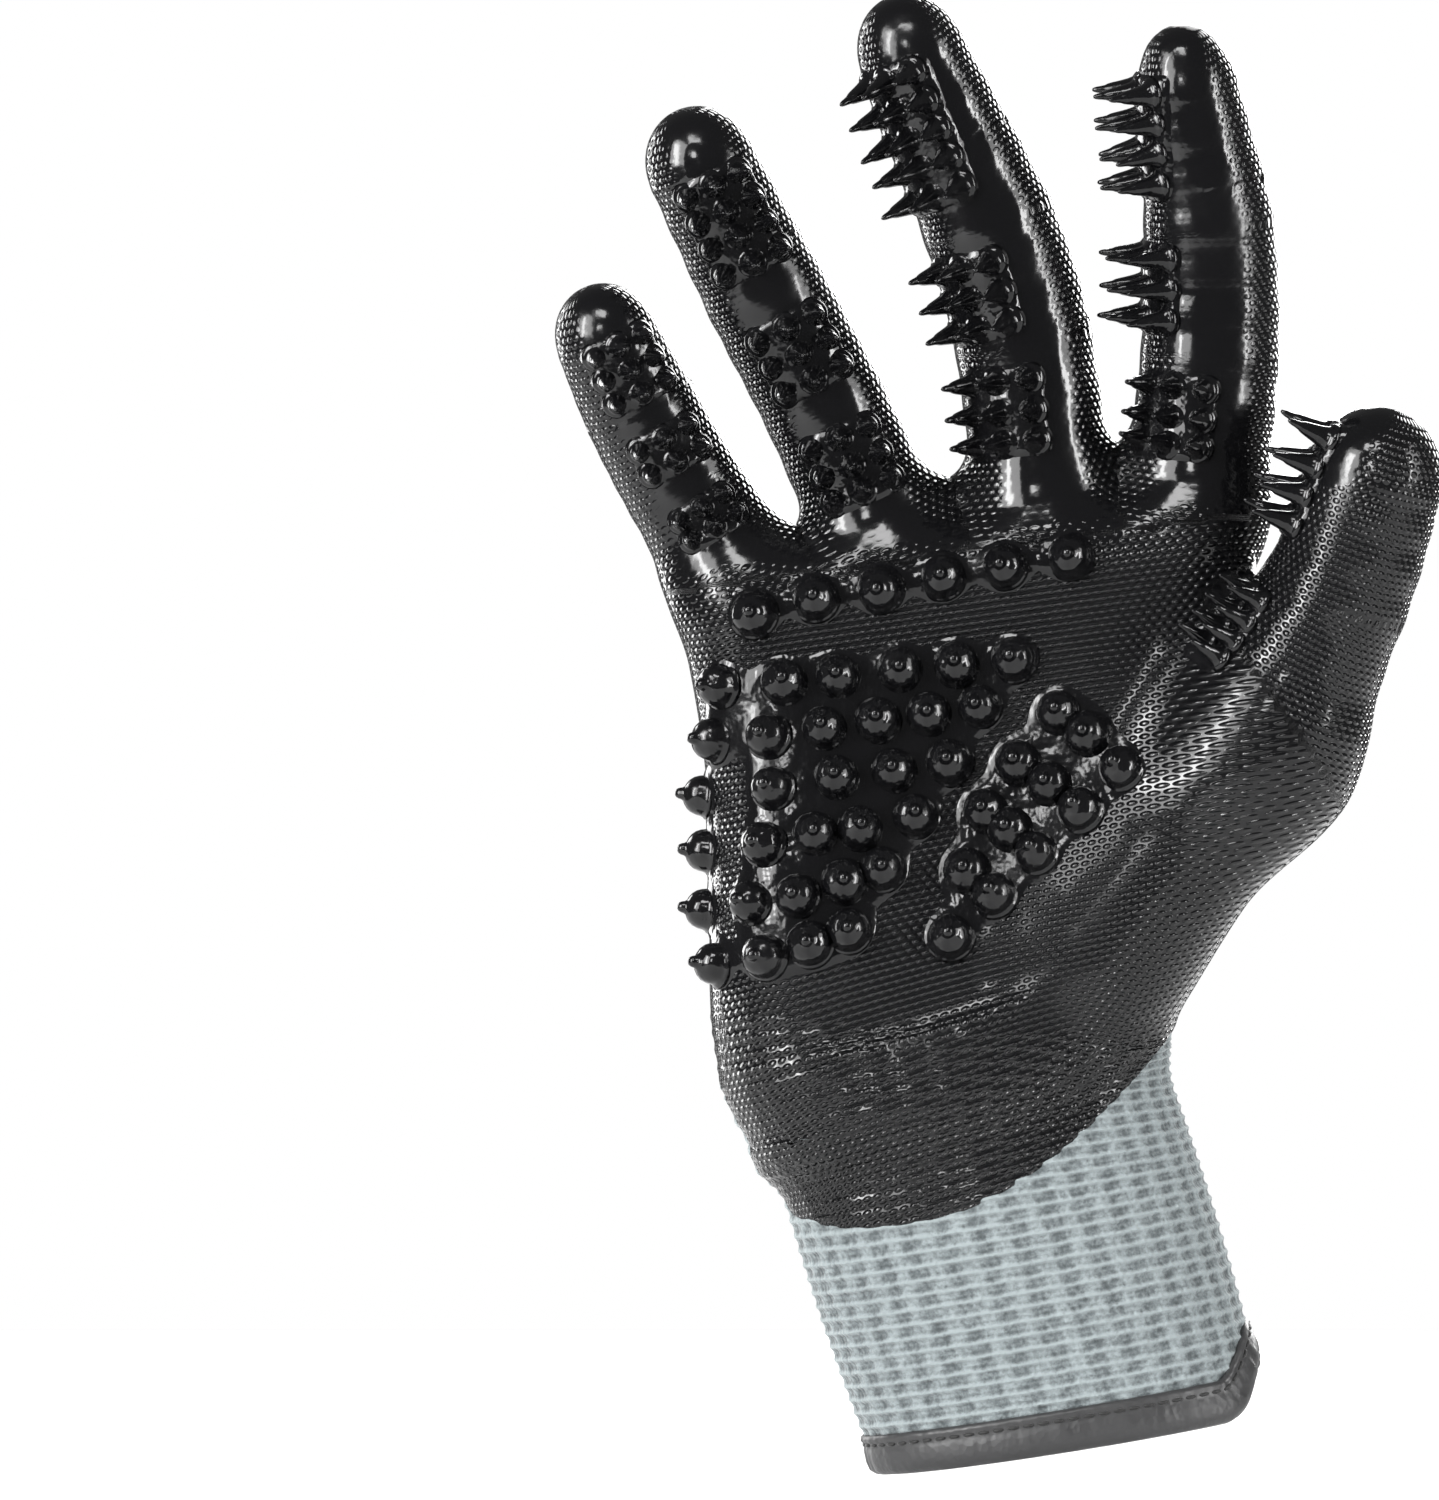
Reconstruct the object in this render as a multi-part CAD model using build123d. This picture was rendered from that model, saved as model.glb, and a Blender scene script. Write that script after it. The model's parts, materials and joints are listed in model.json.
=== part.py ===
"""A grooming glove for the right hand, in its worn shape, fingers up and palm towards -Y.

The origin is the centre of the wrist opening. +Z runs from the wrist to the fingertips, +X towards the
thumb, and +Y out of the back of the hand. Sizes are in millimetres.

The glove is a seamless knitted liner dipped in rubber on the palm side, with moulded nub pads bonded
to the rubber. Its cuff is split on the thumb side of the back, bound with tape, and drawn shut by a
hook-and-loop strap. The knitted and rubber skins are split at the knuckles, where the glove bends.
"""

import math
import os
from dataclasses import dataclass

from build123d import *

# Layers, counted outwards from the liner's outer face
LINER_WALL = 1.6
COAT_INNER = 0.05
COAT_OUTER = 0.75
PAD_INNER = 0.8
PAD_OUTER = 1.8
FIT_GAP = 0.1

# Cuff: an elliptical tube, leaning towards the little finger
CUFF_LEAN_DEG = 18.0
CUFF_HEIGHT = 66.0
CUFF_HALF_WIDTH = 33.0
CUFF_HALF_DEPTH = 20.5
CUFF_TOP_HALF_WIDTH = 34.5
CUFF_TOP_HALF_DEPTH = 19.5
APRON_LOW = 44.0
APRON_EDGE = 2.0

# Slit in the cuff, measured round from the thumb side towards the back
SLIT_DEG = 30.0
SLIT_WIDTH = 2.4
SLIT_HEIGHT = 52.0

# Binding tape
TAPE_THICK = 0.9
TAPE_HEIGHT = 5.5
TAPE_GROOVE = 4.0
MOUTH_HEM = 1.5
SLIT_TAPE_WIDTH = 3.6

# Strap
STRAP_HEIGHT = 28.0
STRAP_LOW = 20.0
STRAP_THICK = 1.8
STRAP_END_X = -30.0
STRAP_ROOT_X = 27.5
STRAP_CORNER = 12.0
HOOK_THICK = 0.9
LOOP_THICK = 0.9
CLOSURE_GAP = 0.35
STITCH = (2.3, 0.6, 0.45)
STITCH_PITCH = 3.4
STITCH_INSET = 3.6
STITCH_FREE_DEG = 16.0
MARK_THICK = 0.5

# Palm sections from heel to knuckles: centre x, centre z, lean, half width, half depth, corner radius
PALM_SECTIONS = (
    (-20.5, 84.0, 14.0, 41.5, 17.6, 16.5),
    (-18.5, 115.0, 10.0, 43.5, 15.6, 14.5),
    (-18.4, 140.0, 8.0, 47.5, 13.4, 12.5),
    (-18.6, 153.2, 7.6, 49.6, 12.6, 11.8),
)
ROOF_THICK = 2.0
ROOF_LEAN_DEG = 7.6
FINGER_HOLE_MARGIN = 2.2

# Thumb root, the cone between the heel of the palm and the thumb's knuckle
THUMB_ROOT = (4.0, -5.0, 84.0)
THUMB_ROOT_RADIUS = 15.0
THUMB_ROOM = 3.4

# Hinges
HINGE_DEPTH = 4.0
HINGE_CLEAR = 0.2
CUT_REACH = 34.0
CUT_DEPTH = 15.0
CUT_HALF_WIDTH = 18.0
ANGLE_CLEAR = 1.5
KNUCKLE_MIN = 8.0
KNUCKLE_MAX = 42.0
CURL_MAX = 36.0
END_RATIO = 0.6

# Nubs
SPIKE_TIP = 0.65
DOME_TIP = 1.05
NUB_SUNK = 0.6


@dataclass
class Pad:
    """A block of nubs on one phalanx: where along it the block's middle lies, which way it faces
    (degrees from the palm's own direction, towards the little finger), and its grid of nubs."""

    along: float
    facing: float
    rows: int
    columns: int
    pitch: float
    height: float
    base: float


@dataclass
class Digit:
    """A finger or thumb: joint centres from knuckle to tip, radii there, flexing direction and pads."""

    name: str
    points: tuple
    radii: tuple
    flex: tuple
    knuckle_max: float
    curl_max: float
    pads: dict


DIGITS = (
    Digit(
        "little",
        ((-57.5, 0.0, 148.0), (-66.5, -1.5, 162.0), (-73.8, -3.5, 175.3), (-79.6, -6.5, 187.3)),
        (10.0, 9.4, 9.0, 8.2),
        (0.10, -0.99, 0.0),
        28.0,
        28.0,
        {
            "base": Pad(10.9, -4, 2, 3, 3.6, 4.6, 1.7),
            "mid": Pad(7.6, -6, 2, 3, 4.3, 5.0, 1.9),
            "tip": Pad(8.4, -8, 3, 3, 4.3, 5.0, 1.9),
        },
    ),
    Digit(
        "ring",
        ((-31.5, 0.0, 151.5), (-42.3, -1.5, 175.5), (-52.6, -4.0, 195.0), (-63.6, -8.0, 216.5)),
        (10.3, 9.9, 9.7, 8.9),
        (0.04, -1.0, 0.0),
        KNUCKLE_MAX,
        CURL_MAX,
        {
            "base": Pad(16.0, 2, 3, 3, 4.8, 6.5, 2.1),
            "mid": Pad(11.0, 0, 3, 3, 4.8, 6.5, 2.1),
            "tip": Pad(13.0, 0, 4, 3, 4.8, 6.5, 2.1),
        },
    ),
    Digit(
        "middle",
        ((-4.8, 0.0, 155.0), (-8.6, -1.5, 186.5), (-14.8, -4.5, 207.0), (-28.0, -9.5, 235.5)),
        (11.2, 11.1, 10.7, 8.8),
        (-0.06, -1.0, 0.0),
        KNUCKLE_MAX,
        CURL_MAX,
        {
            "base": Pad(20.5, 30, 3, 3, 5.2, 7.5, 2.2),
            "mid": Pad(10.7, 38, 3, 3, 5.2, 7.5, 2.2),
            "tip": Pad(17.0, 42, 5, 3, 5.2, 7.5, 2.2),
        },
    ),
    Digit(
        "index",
        ((20.0, 0.0, 158.3), (23.0, -1.5, 184.5), (22.6, -5.0, 206.5), (18.6, -10.5, 229.5)),
        (11.3, 11.1, 10.4, 8.8),
        (-0.10, -0.99, 0.0),
        KNUCKLE_MAX,
        CURL_MAX,
        {
            "base": Pad(15.4, 27, 3, 3, 4.6, 6.2, 2.1),
            "mid": Pad(11.2, 72, 3, 3, 5.2, 7.5, 2.2),
            "tip": Pad(13.8, 78, 4, 3, 5.2, 7.5, 2.2),
        },
    ),
    Digit(
        "thumb",
        ((31.0, -11.0, 117.0), (43.2, -17.0, 143.0), (50.0, -21.0, 163.6)),
        (12.8, 11.6, 10.8),
        (-0.72, -0.62, 0.32),
        24.0,
        30.0,
        {
            "base": Pad(17.6, 78, 4, 2, 4.0, 6.5, 1.75),
            "tip": Pad(15.6, 84, 4, 2, 5.0, 7.5, 2.2),
        },
    ),
)

# Rows of broad nubs on the palm: first nub (x, z), last nub (x, z), number
PALM_ROWS = {
    "pad_palm_ridge": (((-54.7, 140.6), (-1.5, 150.2), 6),),
    "pad_palm_field": (
        ((-59.6, 128.4), (-11.0, 132.6), 6),
        ((-60.6, 118.8), (-16.8, 124.4), 6),
        ((-61.2, 109.4), (-22.0, 115.9), 5),
        ((-61.2, 100.0), (-27.9, 106.4), 5),
        ((-61.0, 90.4), (-33.2, 97.0), 5),
        ((-60.0, 81.0), (-38.9, 86.8), 4),
    ),
    "pad_palm_heel": (
        ((-21.6, 85.9), (8.0, 114.2), 5),
        ((-19.0, 97.0), (0.9, 119.3), 4),
        ((-16.0, 107.1), (-3.9, 123.5), 3),
    ),
}
PALM_NUB_HEIGHT = 4.6
PALM_NUB_BASE = 3.5
PALM_PLATE_MARGIN = 4.6
PALM_DEEPEST = 60.0

CUFF = Plane(
    origin=(0, 0, 0),
    x_dir=(math.cos(math.radians(CUFF_LEAN_DEG)), 0, math.sin(math.radians(CUFF_LEAN_DEG))),
    z_dir=(-math.sin(math.radians(CUFF_LEAN_DEG)), 0, math.cos(math.radians(CUFF_LEAN_DEG))),
)
MIN_Z = (Align.CENTER, Align.CENTER, Align.MIN)


def leaning_plane(x, z, lean):
    """A plane across the hand at (x, 0, z), leaning towards the little finger by lean degrees."""
    a = math.radians(lean)
    across, up = (math.cos(a), 0, math.sin(a)), (-math.sin(a), 0, math.cos(a))
    return Plane(origin=(x, 0, z), x_dir=across, z_dir=up)


# ---------------------------------------------------------------- fingers


def bone_plane(start, end, toward):
    """A frame at start with +Z to end and -Y as near as it can be to toward."""
    axis = (Vector(*end) - Vector(*start)).normalized()
    toward = Vector(*toward)
    palmar = (toward - axis * toward.dot(axis)).normalized()
    return Plane(origin=start, x_dir=axis.cross(palmar), z_dir=axis)


def tube(r0, r1, length, grow, tip=False, over=12.0):
    """A solid cone of a phalanx, grown by grow, run past both ends, or domed where it is a fingertip."""
    slope = (r1 - r0) / length
    top = length if tip else length + over
    low_radius, top_radius = r0 - slope * over + grow, r0 + slope * top + grow
    body = Pos(0, 0, -over) * Cone(low_radius, top_radius, top + over, align=MIN_Z)
    if tip:
        body += Pos(0, 0, length) * Sphere(r1 + grow)
    return body


@dataclass
class Hinge:
    """A joint's axis: a point on it, its direction, the way it closes, and the normal of its split."""

    point: Vector
    axis: Vector
    palmar: Vector
    along: Vector


def hinge(digit, k):
    """Joint k of a digit. Turning about its axis by the right-hand rule flexes the digit. It lies inside
    the palmar skin by HINGE_DEPTH, and the fingers' first joints lie in the face of the palm's roof."""
    joint = Vector(*digit.points[k])
    bone = (Vector(*digit.points[k + 1]) - joint).normalized()
    if k == 0 and digit.name != "thumb":
        roof = leaning_plane(0, 0, ROOF_LEAN_DEG)
        palmar, axis, along = Vector(0, -1, 0), roof.x_dir, roof.z_dir
    else:
        toward = Vector(*digit.flex)
        palmar = (toward - bone * toward.dot(bone)).normalized()
        axis = bone.cross(palmar).normalized()
        before = bone if k == 0 else (joint - Vector(*digit.points[k - 1])).normalized()
        middle = before + bone
        along = (middle - axis * middle.dot(axis)).normalized()
    return Hinge(joint + palmar * (digit.radii[k] - HINGE_DEPTH), axis, palmar, along)


def joint_cut(digit, k, upper, palmar_deg, dorsal_deg):
    """The room that joint k needs, to take from the phalanx above it (upper) or from what is below it."""
    joint = hinge(digit, k)
    frame = Plane(origin=joint.point, x_dir=joint.axis.cross(joint.along), z_dir=joint.axis)
    palmar = 1 if frame.x_dir.dot(joint.palmar) > 0 else -1
    side = 1 if (frame.y_dir.dot(joint.along) > 0) == upper else -1
    rise_palmar = HINGE_CLEAR + CUT_REACH * math.tan(math.radians(palmar_deg))
    rise_dorsal = HINGE_CLEAR + CUT_REACH * math.tan(math.radians(dorsal_deg))
    outline = Polyline(
        (0, side * HINGE_CLEAR),
        (palmar * CUT_REACH, side * rise_palmar),
        (palmar * CUT_REACH, -side * CUT_DEPTH),
        (-palmar * CUT_REACH, -side * CUT_DEPTH),
        (-palmar * CUT_REACH, side * rise_dorsal),
        close=True,
    )
    return frame * extrude(make_face(outline), CUT_HALF_WIDTH, both=True)


def nub(base, tip, height):
    """A tapering nub with a round end, standing on z = 0 and sunk into what carries it."""
    stem = Pos(0, 0, -NUB_SUNK) * Cone(base, tip, height - tip + NUB_SUNK, align=MIN_Z)
    return stem + Pos(0, 0, height - tip) * Sphere(tip)


def finger_pad(digit, k, pad):
    """The pad on phalanx k: a curved plate with a grid of spikes that fan out round the finger."""
    start, end = digit.points[k], digit.points[k + 1]
    r0, r1 = digit.radii[k], digit.radii[k + 1]
    length = (Vector(*end) - Vector(*start)).length
    facing = math.radians(pad.facing)
    frame = bone_plane(start, end, (-math.sin(facing), -math.cos(facing), 0))
    radius = r0 + (r1 - r0) * pad.along / length
    is_tip = k == len(digit.points) - 2
    shell = tube(r0, r1, length, PAD_OUTER, is_tip) - tube(r0, r1, length, PAD_INNER, is_tip)
    wide = pad.columns * pad.pitch + 0.6
    tall = pad.rows * pad.pitch + 0.4
    block = Box(wide, 2 * radius, tall)
    block = fillet(block.edges().filter_by(Axis.Y), 1.8)
    plate = shell & (Pos(0, -radius, pad.along) * block)
    nubs = []
    for row in range(pad.rows):
        for column in range(pad.columns):
            z = pad.along + (row - (pad.rows - 1) / 2) * pad.pitch
            here = r0 + (r1 - r0) * min(z / length, 1.0) + PAD_OUTER
            turn = (column - (pad.columns - 1) / 2) * pad.pitch / here
            stem = Pos(here * math.sin(turn), -here * math.cos(turn), z) * Rot(90, 0, 0)
            fan = Rot(0, 0, math.degrees(turn))
            nubs.append(stem * Rot(0, math.degrees(turn) * 0.9, 0) * nub(pad.base, SPIKE_TIP, pad.height))
    return frame * (plate + nubs)


def phalanx(digit, k):
    """The knitted tube and rubber skin of phalanx k, cut clear of the joints at its ends."""
    start, end = digit.points[k], digit.points[k + 1]
    r0, r1 = digit.radii[k], digit.radii[k + 1]
    length = (Vector(*end) - Vector(*start)).length
    frame = bone_plane(start, end, digit.flex)
    is_tip = k == len(digit.points) - 2
    knit = tube(r0, r1, length, 0, is_tip) - tube(r0, r1, length, -LINER_WALL, is_tip)
    rubber = tube(r0, r1, length, COAT_OUTER, is_tip) - tube(r0, r1, length, COAT_INNER, is_tip)
    window_top = 0.4 * length if is_tip else length + 20
    window = Pos(0, r0, window_top - 40) * Box(1.5 * r0, 1.6 * r0, 80)
    rubber -= window
    if k == 0:
        cut = joint_cut(digit, 0, True, digit.knuckle_max + ANGLE_CLEAR, KNUCKLE_MIN + ANGLE_CLEAR)
    else:
        cut = joint_cut(digit, k, True, bend_limit(digit, k) / 2 + ANGLE_CLEAR, ANGLE_CLEAR)
    parts = [frame * knit - cut, frame * rubber - cut]
    if not is_tip:
        above = joint_cut(digit, k + 1, False, bend_limit(digit, k + 1) / 2 + ANGLE_CLEAR, ANGLE_CLEAR)
        parts = [part - above for part in parts]
    return [largest(part) for part in parts]


def largest(shape):
    """The shape's largest solid, without the slivers that two cuts leave where they cross."""
    return max(shape.solids(), key=lambda solid: solid.volume)


def bend_limit(digit, k):
    """The most that joint k bends, in degrees."""
    if k == 0:
        return digit.knuckle_max
    return digit.curl_max if k == 1 else digit.curl_max * END_RATIO


# ---------------------------------------------------------------- hand


def palm_body(grow):
    """The hand without its fingers, grown by grow: a loft from the cuff to the knuckles."""
    first = CUFF * (Pos(0, 0, CUFF_HEIGHT) * RectangleRounded(
        2 * (CUFF_TOP_HALF_WIDTH + grow), 2 * (CUFF_TOP_HALF_DEPTH + grow), CUFF_TOP_HALF_DEPTH - 0.6 + grow
    ))
    sections = [first]
    for x, z, lean, half_width, half_depth, corner in PALM_SECTIONS:
        outline = RectangleRounded(2 * (half_width + grow), 2 * (half_depth + grow), corner + grow)
        sections.append(leaning_plane(x, z, lean) * outline)
    return loft(sections)


def thumb_root(grow):
    """The cone from the heel of the palm to the thumb's knuckle, grown by grow."""
    thumb = DIGITS[-1]
    start, end = Vector(*THUMB_ROOT), Vector(*thumb.points[0])
    frame = bone_plane(THUMB_ROOT, thumb.points[0], thumb.flex)
    length = (end - start).length
    return frame * (
        Cone(THUMB_ROOT_RADIUS + grow, thumb.radii[0] + grow, length, align=MIN_Z)
        + Sphere(THUMB_ROOT_RADIUS + grow)
    )


def thumb_room():
    """The room beside the palm that the thumb's first phalanx turns in."""
    thumb = DIGITS[-1]
    start, end = thumb.points[0], thumb.points[1]
    length = (Vector(*end) - Vector(*start)).length
    r0, r1 = thumb.radii[0] + THUMB_ROOM, thumb.radii[1] + THUMB_ROOM
    return bone_plane(start, end, thumb.flex) * Cone(r0, r1, length + 6, align=MIN_Z)


def finger_holes():
    """What opens the roof of the palm into each finger."""
    holes = []
    for digit in DIGITS[:-1]:
        x, y, z = digit.points[0]
        stub = Cylinder(digit.radii[0] - FINGER_HOLE_MARGIN, 16)
        holes.append(leaning_plane(x, z, ROOF_LEAN_DEG) * (Pos(0, y, 0) * stub))
    return holes


def below_roof(z_shift):
    """Everything below the knuckle line, moved up by z_shift."""
    x, z, lean = PALM_SECTIONS[-1][:3]
    return leaning_plane(x, z + z_shift, lean) * (Pos(0, 0, -60) * Box(200, 120, 120))


def hand_skins():
    """The liner of the hand and the rubber on its palm side."""
    cavity = (palm_body(-LINER_WALL) & below_roof(-ROOF_THICK)) + thumb_root(-LINER_WALL)
    knit = palm_body(0) + thumb_root(0)
    knit -= cavity
    for hole in finger_holes():
        knit -= hole
    thumb_cut = joint_cut(DIGITS[-1], 0, False, 0, 0)
    bottom = CUFF * (Pos(0, 0, CUFF_HEIGHT - 30 + FIT_GAP) * Box(200, 120, 60))
    thumb_sweep = thumb_room()
    knit = knit - thumb_cut - thumb_sweep - bottom
    rubber = palm_body(COAT_OUTER) + thumb_root(COAT_OUTER)
    rubber -= palm_body(COAT_INNER) + thumb_root(COAT_INNER)
    behind = Pos(-8, 31.5, 110) * Box(200, 60, 200)
    rubber = rubber - behind - thumb_cut - thumb_sweep - bottom
    rubber &= below_roof(0)
    return knit, largest(rubber)


def palm_pads():
    """The three nub pads of the palm, each a plate that follows the palm with broad nubs on it."""
    outer = palm_body(PAD_OUTER) + thumb_root(PAD_OUTER)
    inner = palm_body(PAD_INNER) + thumb_root(PAD_INNER)
    shell = (outer - inner) & (Pos(0, -PALM_DEEPEST / 2, 110) * Box(300, PALM_DEEPEST, 200))
    pads = {}
    for name, rows in PALM_ROWS.items():
        spots = []
        for (x0, z0), (x1, z1), count in rows:
            steps = [i / (count - 1) for i in range(count)]
            spots += [(x0 + (x1 - x0) * t, z0 + (z1 - z0) * t) for t in steps]
        disks = [Pos(x, z) * Circle(PALM_PLATE_MARGIN) for x, z in spots]
        links = []
        for (x0, z0), (x1, z1), _ in rows:
            angle = math.degrees(math.atan2(z1 - z0, x1 - x0))
            middle = Pos((x0 + x1) / 2, (z0 + z1) / 2) * Rot(0, 0, angle)
            links.append(middle * Rectangle(math.hypot(x1 - x0, z1 - z0), 2 * PALM_PLATE_MARGIN))
        for row_a, row_b in zip(rows, rows[1:]):
            ends = [Pos(*spot) * Circle(PALM_PLATE_MARGIN) for spot in (*row_a[:2], *row_b[:2])]
            links.append(make_hull([edge for end in ends for edge in end.edges()]))
        outline = Sketch() + disks + links
        prism = Plane.XZ * extrude(outline, PALM_DEEPEST)
        plate = shell & prism
        nubs = []
        for x, z in spots:
            hits = outer.find_intersection_points(Axis((x, -PALM_DEEPEST, z), (0, 1, 0)))
            point, normal = min(hits, key=lambda hit: hit[0].Y)
            if normal.Y > 0:
                normal = -normal
            stem = Plane(origin=point, z_dir=normal)
            nubs.append(stem * nub(PALM_NUB_BASE, DOME_TIP, PALM_NUB_HEIGHT))
        pads[name] = plate + nubs
    return pads


# ---------------------------------------------------------------- cuff and strap, in the cuff's own frame


def cuff_tube(grow, low=0.0, high=CUFF_HEIGHT):
    """The cuff's solid from low to high, grown by grow."""
    def section(z):
        t = z / CUFF_HEIGHT
        a = CUFF_HALF_WIDTH + (CUFF_TOP_HALF_WIDTH - CUFF_HALF_WIDTH) * t + grow
        b = CUFF_HALF_DEPTH + (CUFF_TOP_HALF_DEPTH - CUFF_HALF_DEPTH) * t + grow
        return Pos(0, 0, z) * Ellipse(a, b)

    return loft([section(low), section(high)])


def cuff_wall(outer, inner, low, high):
    """What lies between two growths of the cuff, from low to high."""
    return cuff_tube(outer, low, high) - cuff_tube(inner, low, high)


def slit_frame():
    """A frame on the cuff's skin at the slit: +Z up the slit, +X round the cuff, +Y inwards."""
    a = math.radians(SLIT_DEG)
    x, y = CUFF_HALF_WIDTH * math.cos(a), CUFF_HALF_DEPTH * math.sin(a)
    normal = Vector(math.cos(a) / CUFF_HALF_WIDTH, math.sin(a) / CUFF_HALF_DEPTH, 0).normalized()
    return Plane(origin=(x, y, 0), x_dir=Vector(0, 0, 1).cross(-normal), z_dir=(0, 0, 1)), normal


def slit_slot(width, height, extra=0.0):
    """A slot through the cuff's wall at the slit, round at its top."""
    frame, _ = slit_frame()
    tall = height + extra
    flat = Rectangle(width, tall, align=(Align.CENTER, Align.MIN)) + Pos(0, tall) * Circle(width / 2)
    return frame * (Plane.XZ * Pos(0, -extra) * extrude(flat, 9, both=True))


def cuff_parts():
    """The ribbed cuff, the rubber over its palm side, and its tapes and their stitches."""
    tape_out, tape_in = TAPE_THICK + FIT_GAP, -LINER_WALL - TAPE_THICK - FIT_GAP
    wall = cuff_wall(0, -LINER_WALL, MOUTH_HEM, CUFF_HEIGHT)
    knit = wall - slit_slot(SLIT_WIDTH + 2 * TAPE_THICK, SLIT_HEIGHT, 4)
    ring = cuff_wall(tape_out, tape_in, 0, TAPE_HEIGHT)
    groove = cuff_wall(FIT_GAP, -LINER_WALL - FIT_GAP, TAPE_HEIGHT - TAPE_GROOVE, TAPE_HEIGHT)
    mouth_tape = ring - groove - slit_slot(SLIT_WIDTH + 2 * SLIT_TAPE_WIDTH, SLIT_HEIGHT, 4)
    band = cuff_wall(tape_out, tape_in, 0, CUFF_HEIGHT - 6)
    sleeve = cuff_wall(FIT_GAP, -LINER_WALL - FIT_GAP, 0, CUFF_HEIGHT)
    sleeve -= slit_slot(SLIT_WIDTH + 2 * (TAPE_THICK - FIT_GAP), SLIT_HEIGHT, 4)
    tape_area = slit_slot(SLIT_WIDTH + 2 * SLIT_TAPE_WIDTH - 4 * FIT_GAP, SLIT_HEIGHT)
    tape_area -= slit_slot(SLIT_WIDTH, SLIT_HEIGHT, 4)
    slit_tape = (band & tape_area) - sleeve
    stitches = []
    count = int(2 * math.pi * math.sqrt((CUFF_HALF_WIDTH**2 + CUFF_HALF_DEPTH**2) / 2) / STITCH_PITCH)
    for i in range(count):
        a = 2 * math.pi * i / count
        if abs(math.degrees(a) - SLIT_DEG) < STITCH_FREE_DEG:
            continue
        grow = TAPE_THICK + STITCH[2] / 2 + 2 * FIT_GAP
        x, y = (CUFF_HALF_WIDTH + grow) * math.cos(a), (CUFF_HALF_DEPTH + grow) * math.sin(a)
        turn = math.degrees(math.atan2(CUFF_HALF_DEPTH * math.cos(a), -CUFF_HALF_WIDTH * math.sin(a)))
        spot = Pos(x, y, TAPE_HEIGHT - 1.4) * Rot(0, 0, turn)
        stitches.append(spot * Box(STITCH[0], STITCH[2], STITCH[1]))
    apron = cuff_wall(COAT_OUTER, COAT_INNER, APRON_LOW, CUFF_HEIGHT)
    apron &= Pos(0, -APRON_EDGE - 30, CUFF_HEIGHT / 2) * Box(200, 60, 200)
    return {
        "wrist_coating": apron,
        "cuff_rib": knit,
        "cuff_mouth_binding": mouth_tape,
        "slit_binding": slit_tape,
        "binding_stitches": Compound(stitches),
    }


def back_panel(inset, inner, outer, x_low=STRAP_END_X, x_high=STRAP_ROOT_X):
    """A curved panel over the back of the cuff, between two growths of it, shrunk by inset at its edge."""
    low, high = STRAP_LOW, STRAP_LOW + STRAP_HEIGHT
    shell = cuff_wall(outer, inner, low - 1, high + 1)
    left, right = x_low + inset, x_high - inset
    flat = Pos((left + right) / 2, (low + high) / 2) * Rectangle(right - left, high - low - 2 * inset)
    corners = flat.vertices().sort_by(Axis.X)[:2]
    flat = fillet(corners, STRAP_CORNER - inset)
    prism = Plane.XZ * extrude(flat, -60)
    return shell & prism


def strap_parts():
    """The closing strap, its hook patch, its raised marks and its seam, and the loop patch on the cuff."""
    loop_in = FIT_GAP
    loop_out = loop_in + LOOP_THICK
    hook_in = loop_out + CLOSURE_GAP
    hook_out = hook_in + HOOK_THICK
    strap_in = hook_out + 0.05
    strap_out = strap_in + STRAP_THICK
    loop_patch = back_panel(2.0, loop_in, loop_out, STRAP_END_X, 13.0)
    hook_patch = back_panel(3.2, hook_in, hook_out, STRAP_END_X, 12.0)
    strap = back_panel(0.0, strap_in, strap_out)
    middle = STRAP_LOW + STRAP_HEIGHT / 2
    seam_shell = (strap_out + 0.03, strap_out + 0.03 + STITCH[2])
    stitches = seam_stitches(*seam_shell)
    mark_in = strap_out + 0.02
    mark_shell = cuff_wall(mark_in + MARK_THICK, mark_in, STRAP_LOW, STRAP_LOW + STRAP_HEIGHT)
    paw = Pos(9.0, middle) * paw_outline()
    bars = Sketch()
    for i, tall in enumerate((7.0, 10.0, 13.0, 10.0, 7.0)):
        bars += Pos(-21.0 + 5.2 * i, middle) * Rot(0, 0, 90) * SlotOverall(tall, 2.2)
    marks = {
        "strap_paw_mark": mark_shell & (Plane.XZ * extrude(paw, -60)),
        "strap_grip_bars": mark_shell & (Plane.XZ * extrude(bars, -60)),
    }
    return {
        "loop_patch": loop_patch,
        "hook_patch": hook_patch,
        "strap": strap,
        "strap_stitches": stitches,
        **marks,
    }


def paw_outline():
    """A plain paw print: one pad and four toes."""
    paw = Pos(0, -2.4) * Ellipse(4.2, 3.2)
    for x, y, lean in ((-5.0, 1.6, 20), (-1.9, 4.6, 8), (1.9, 4.6, -8), (5.0, 1.6, -20)):
        paw += Pos(x, y) * Rot(0, 0, lean) * Ellipse(1.35, 2.0)
    return paw


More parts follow.
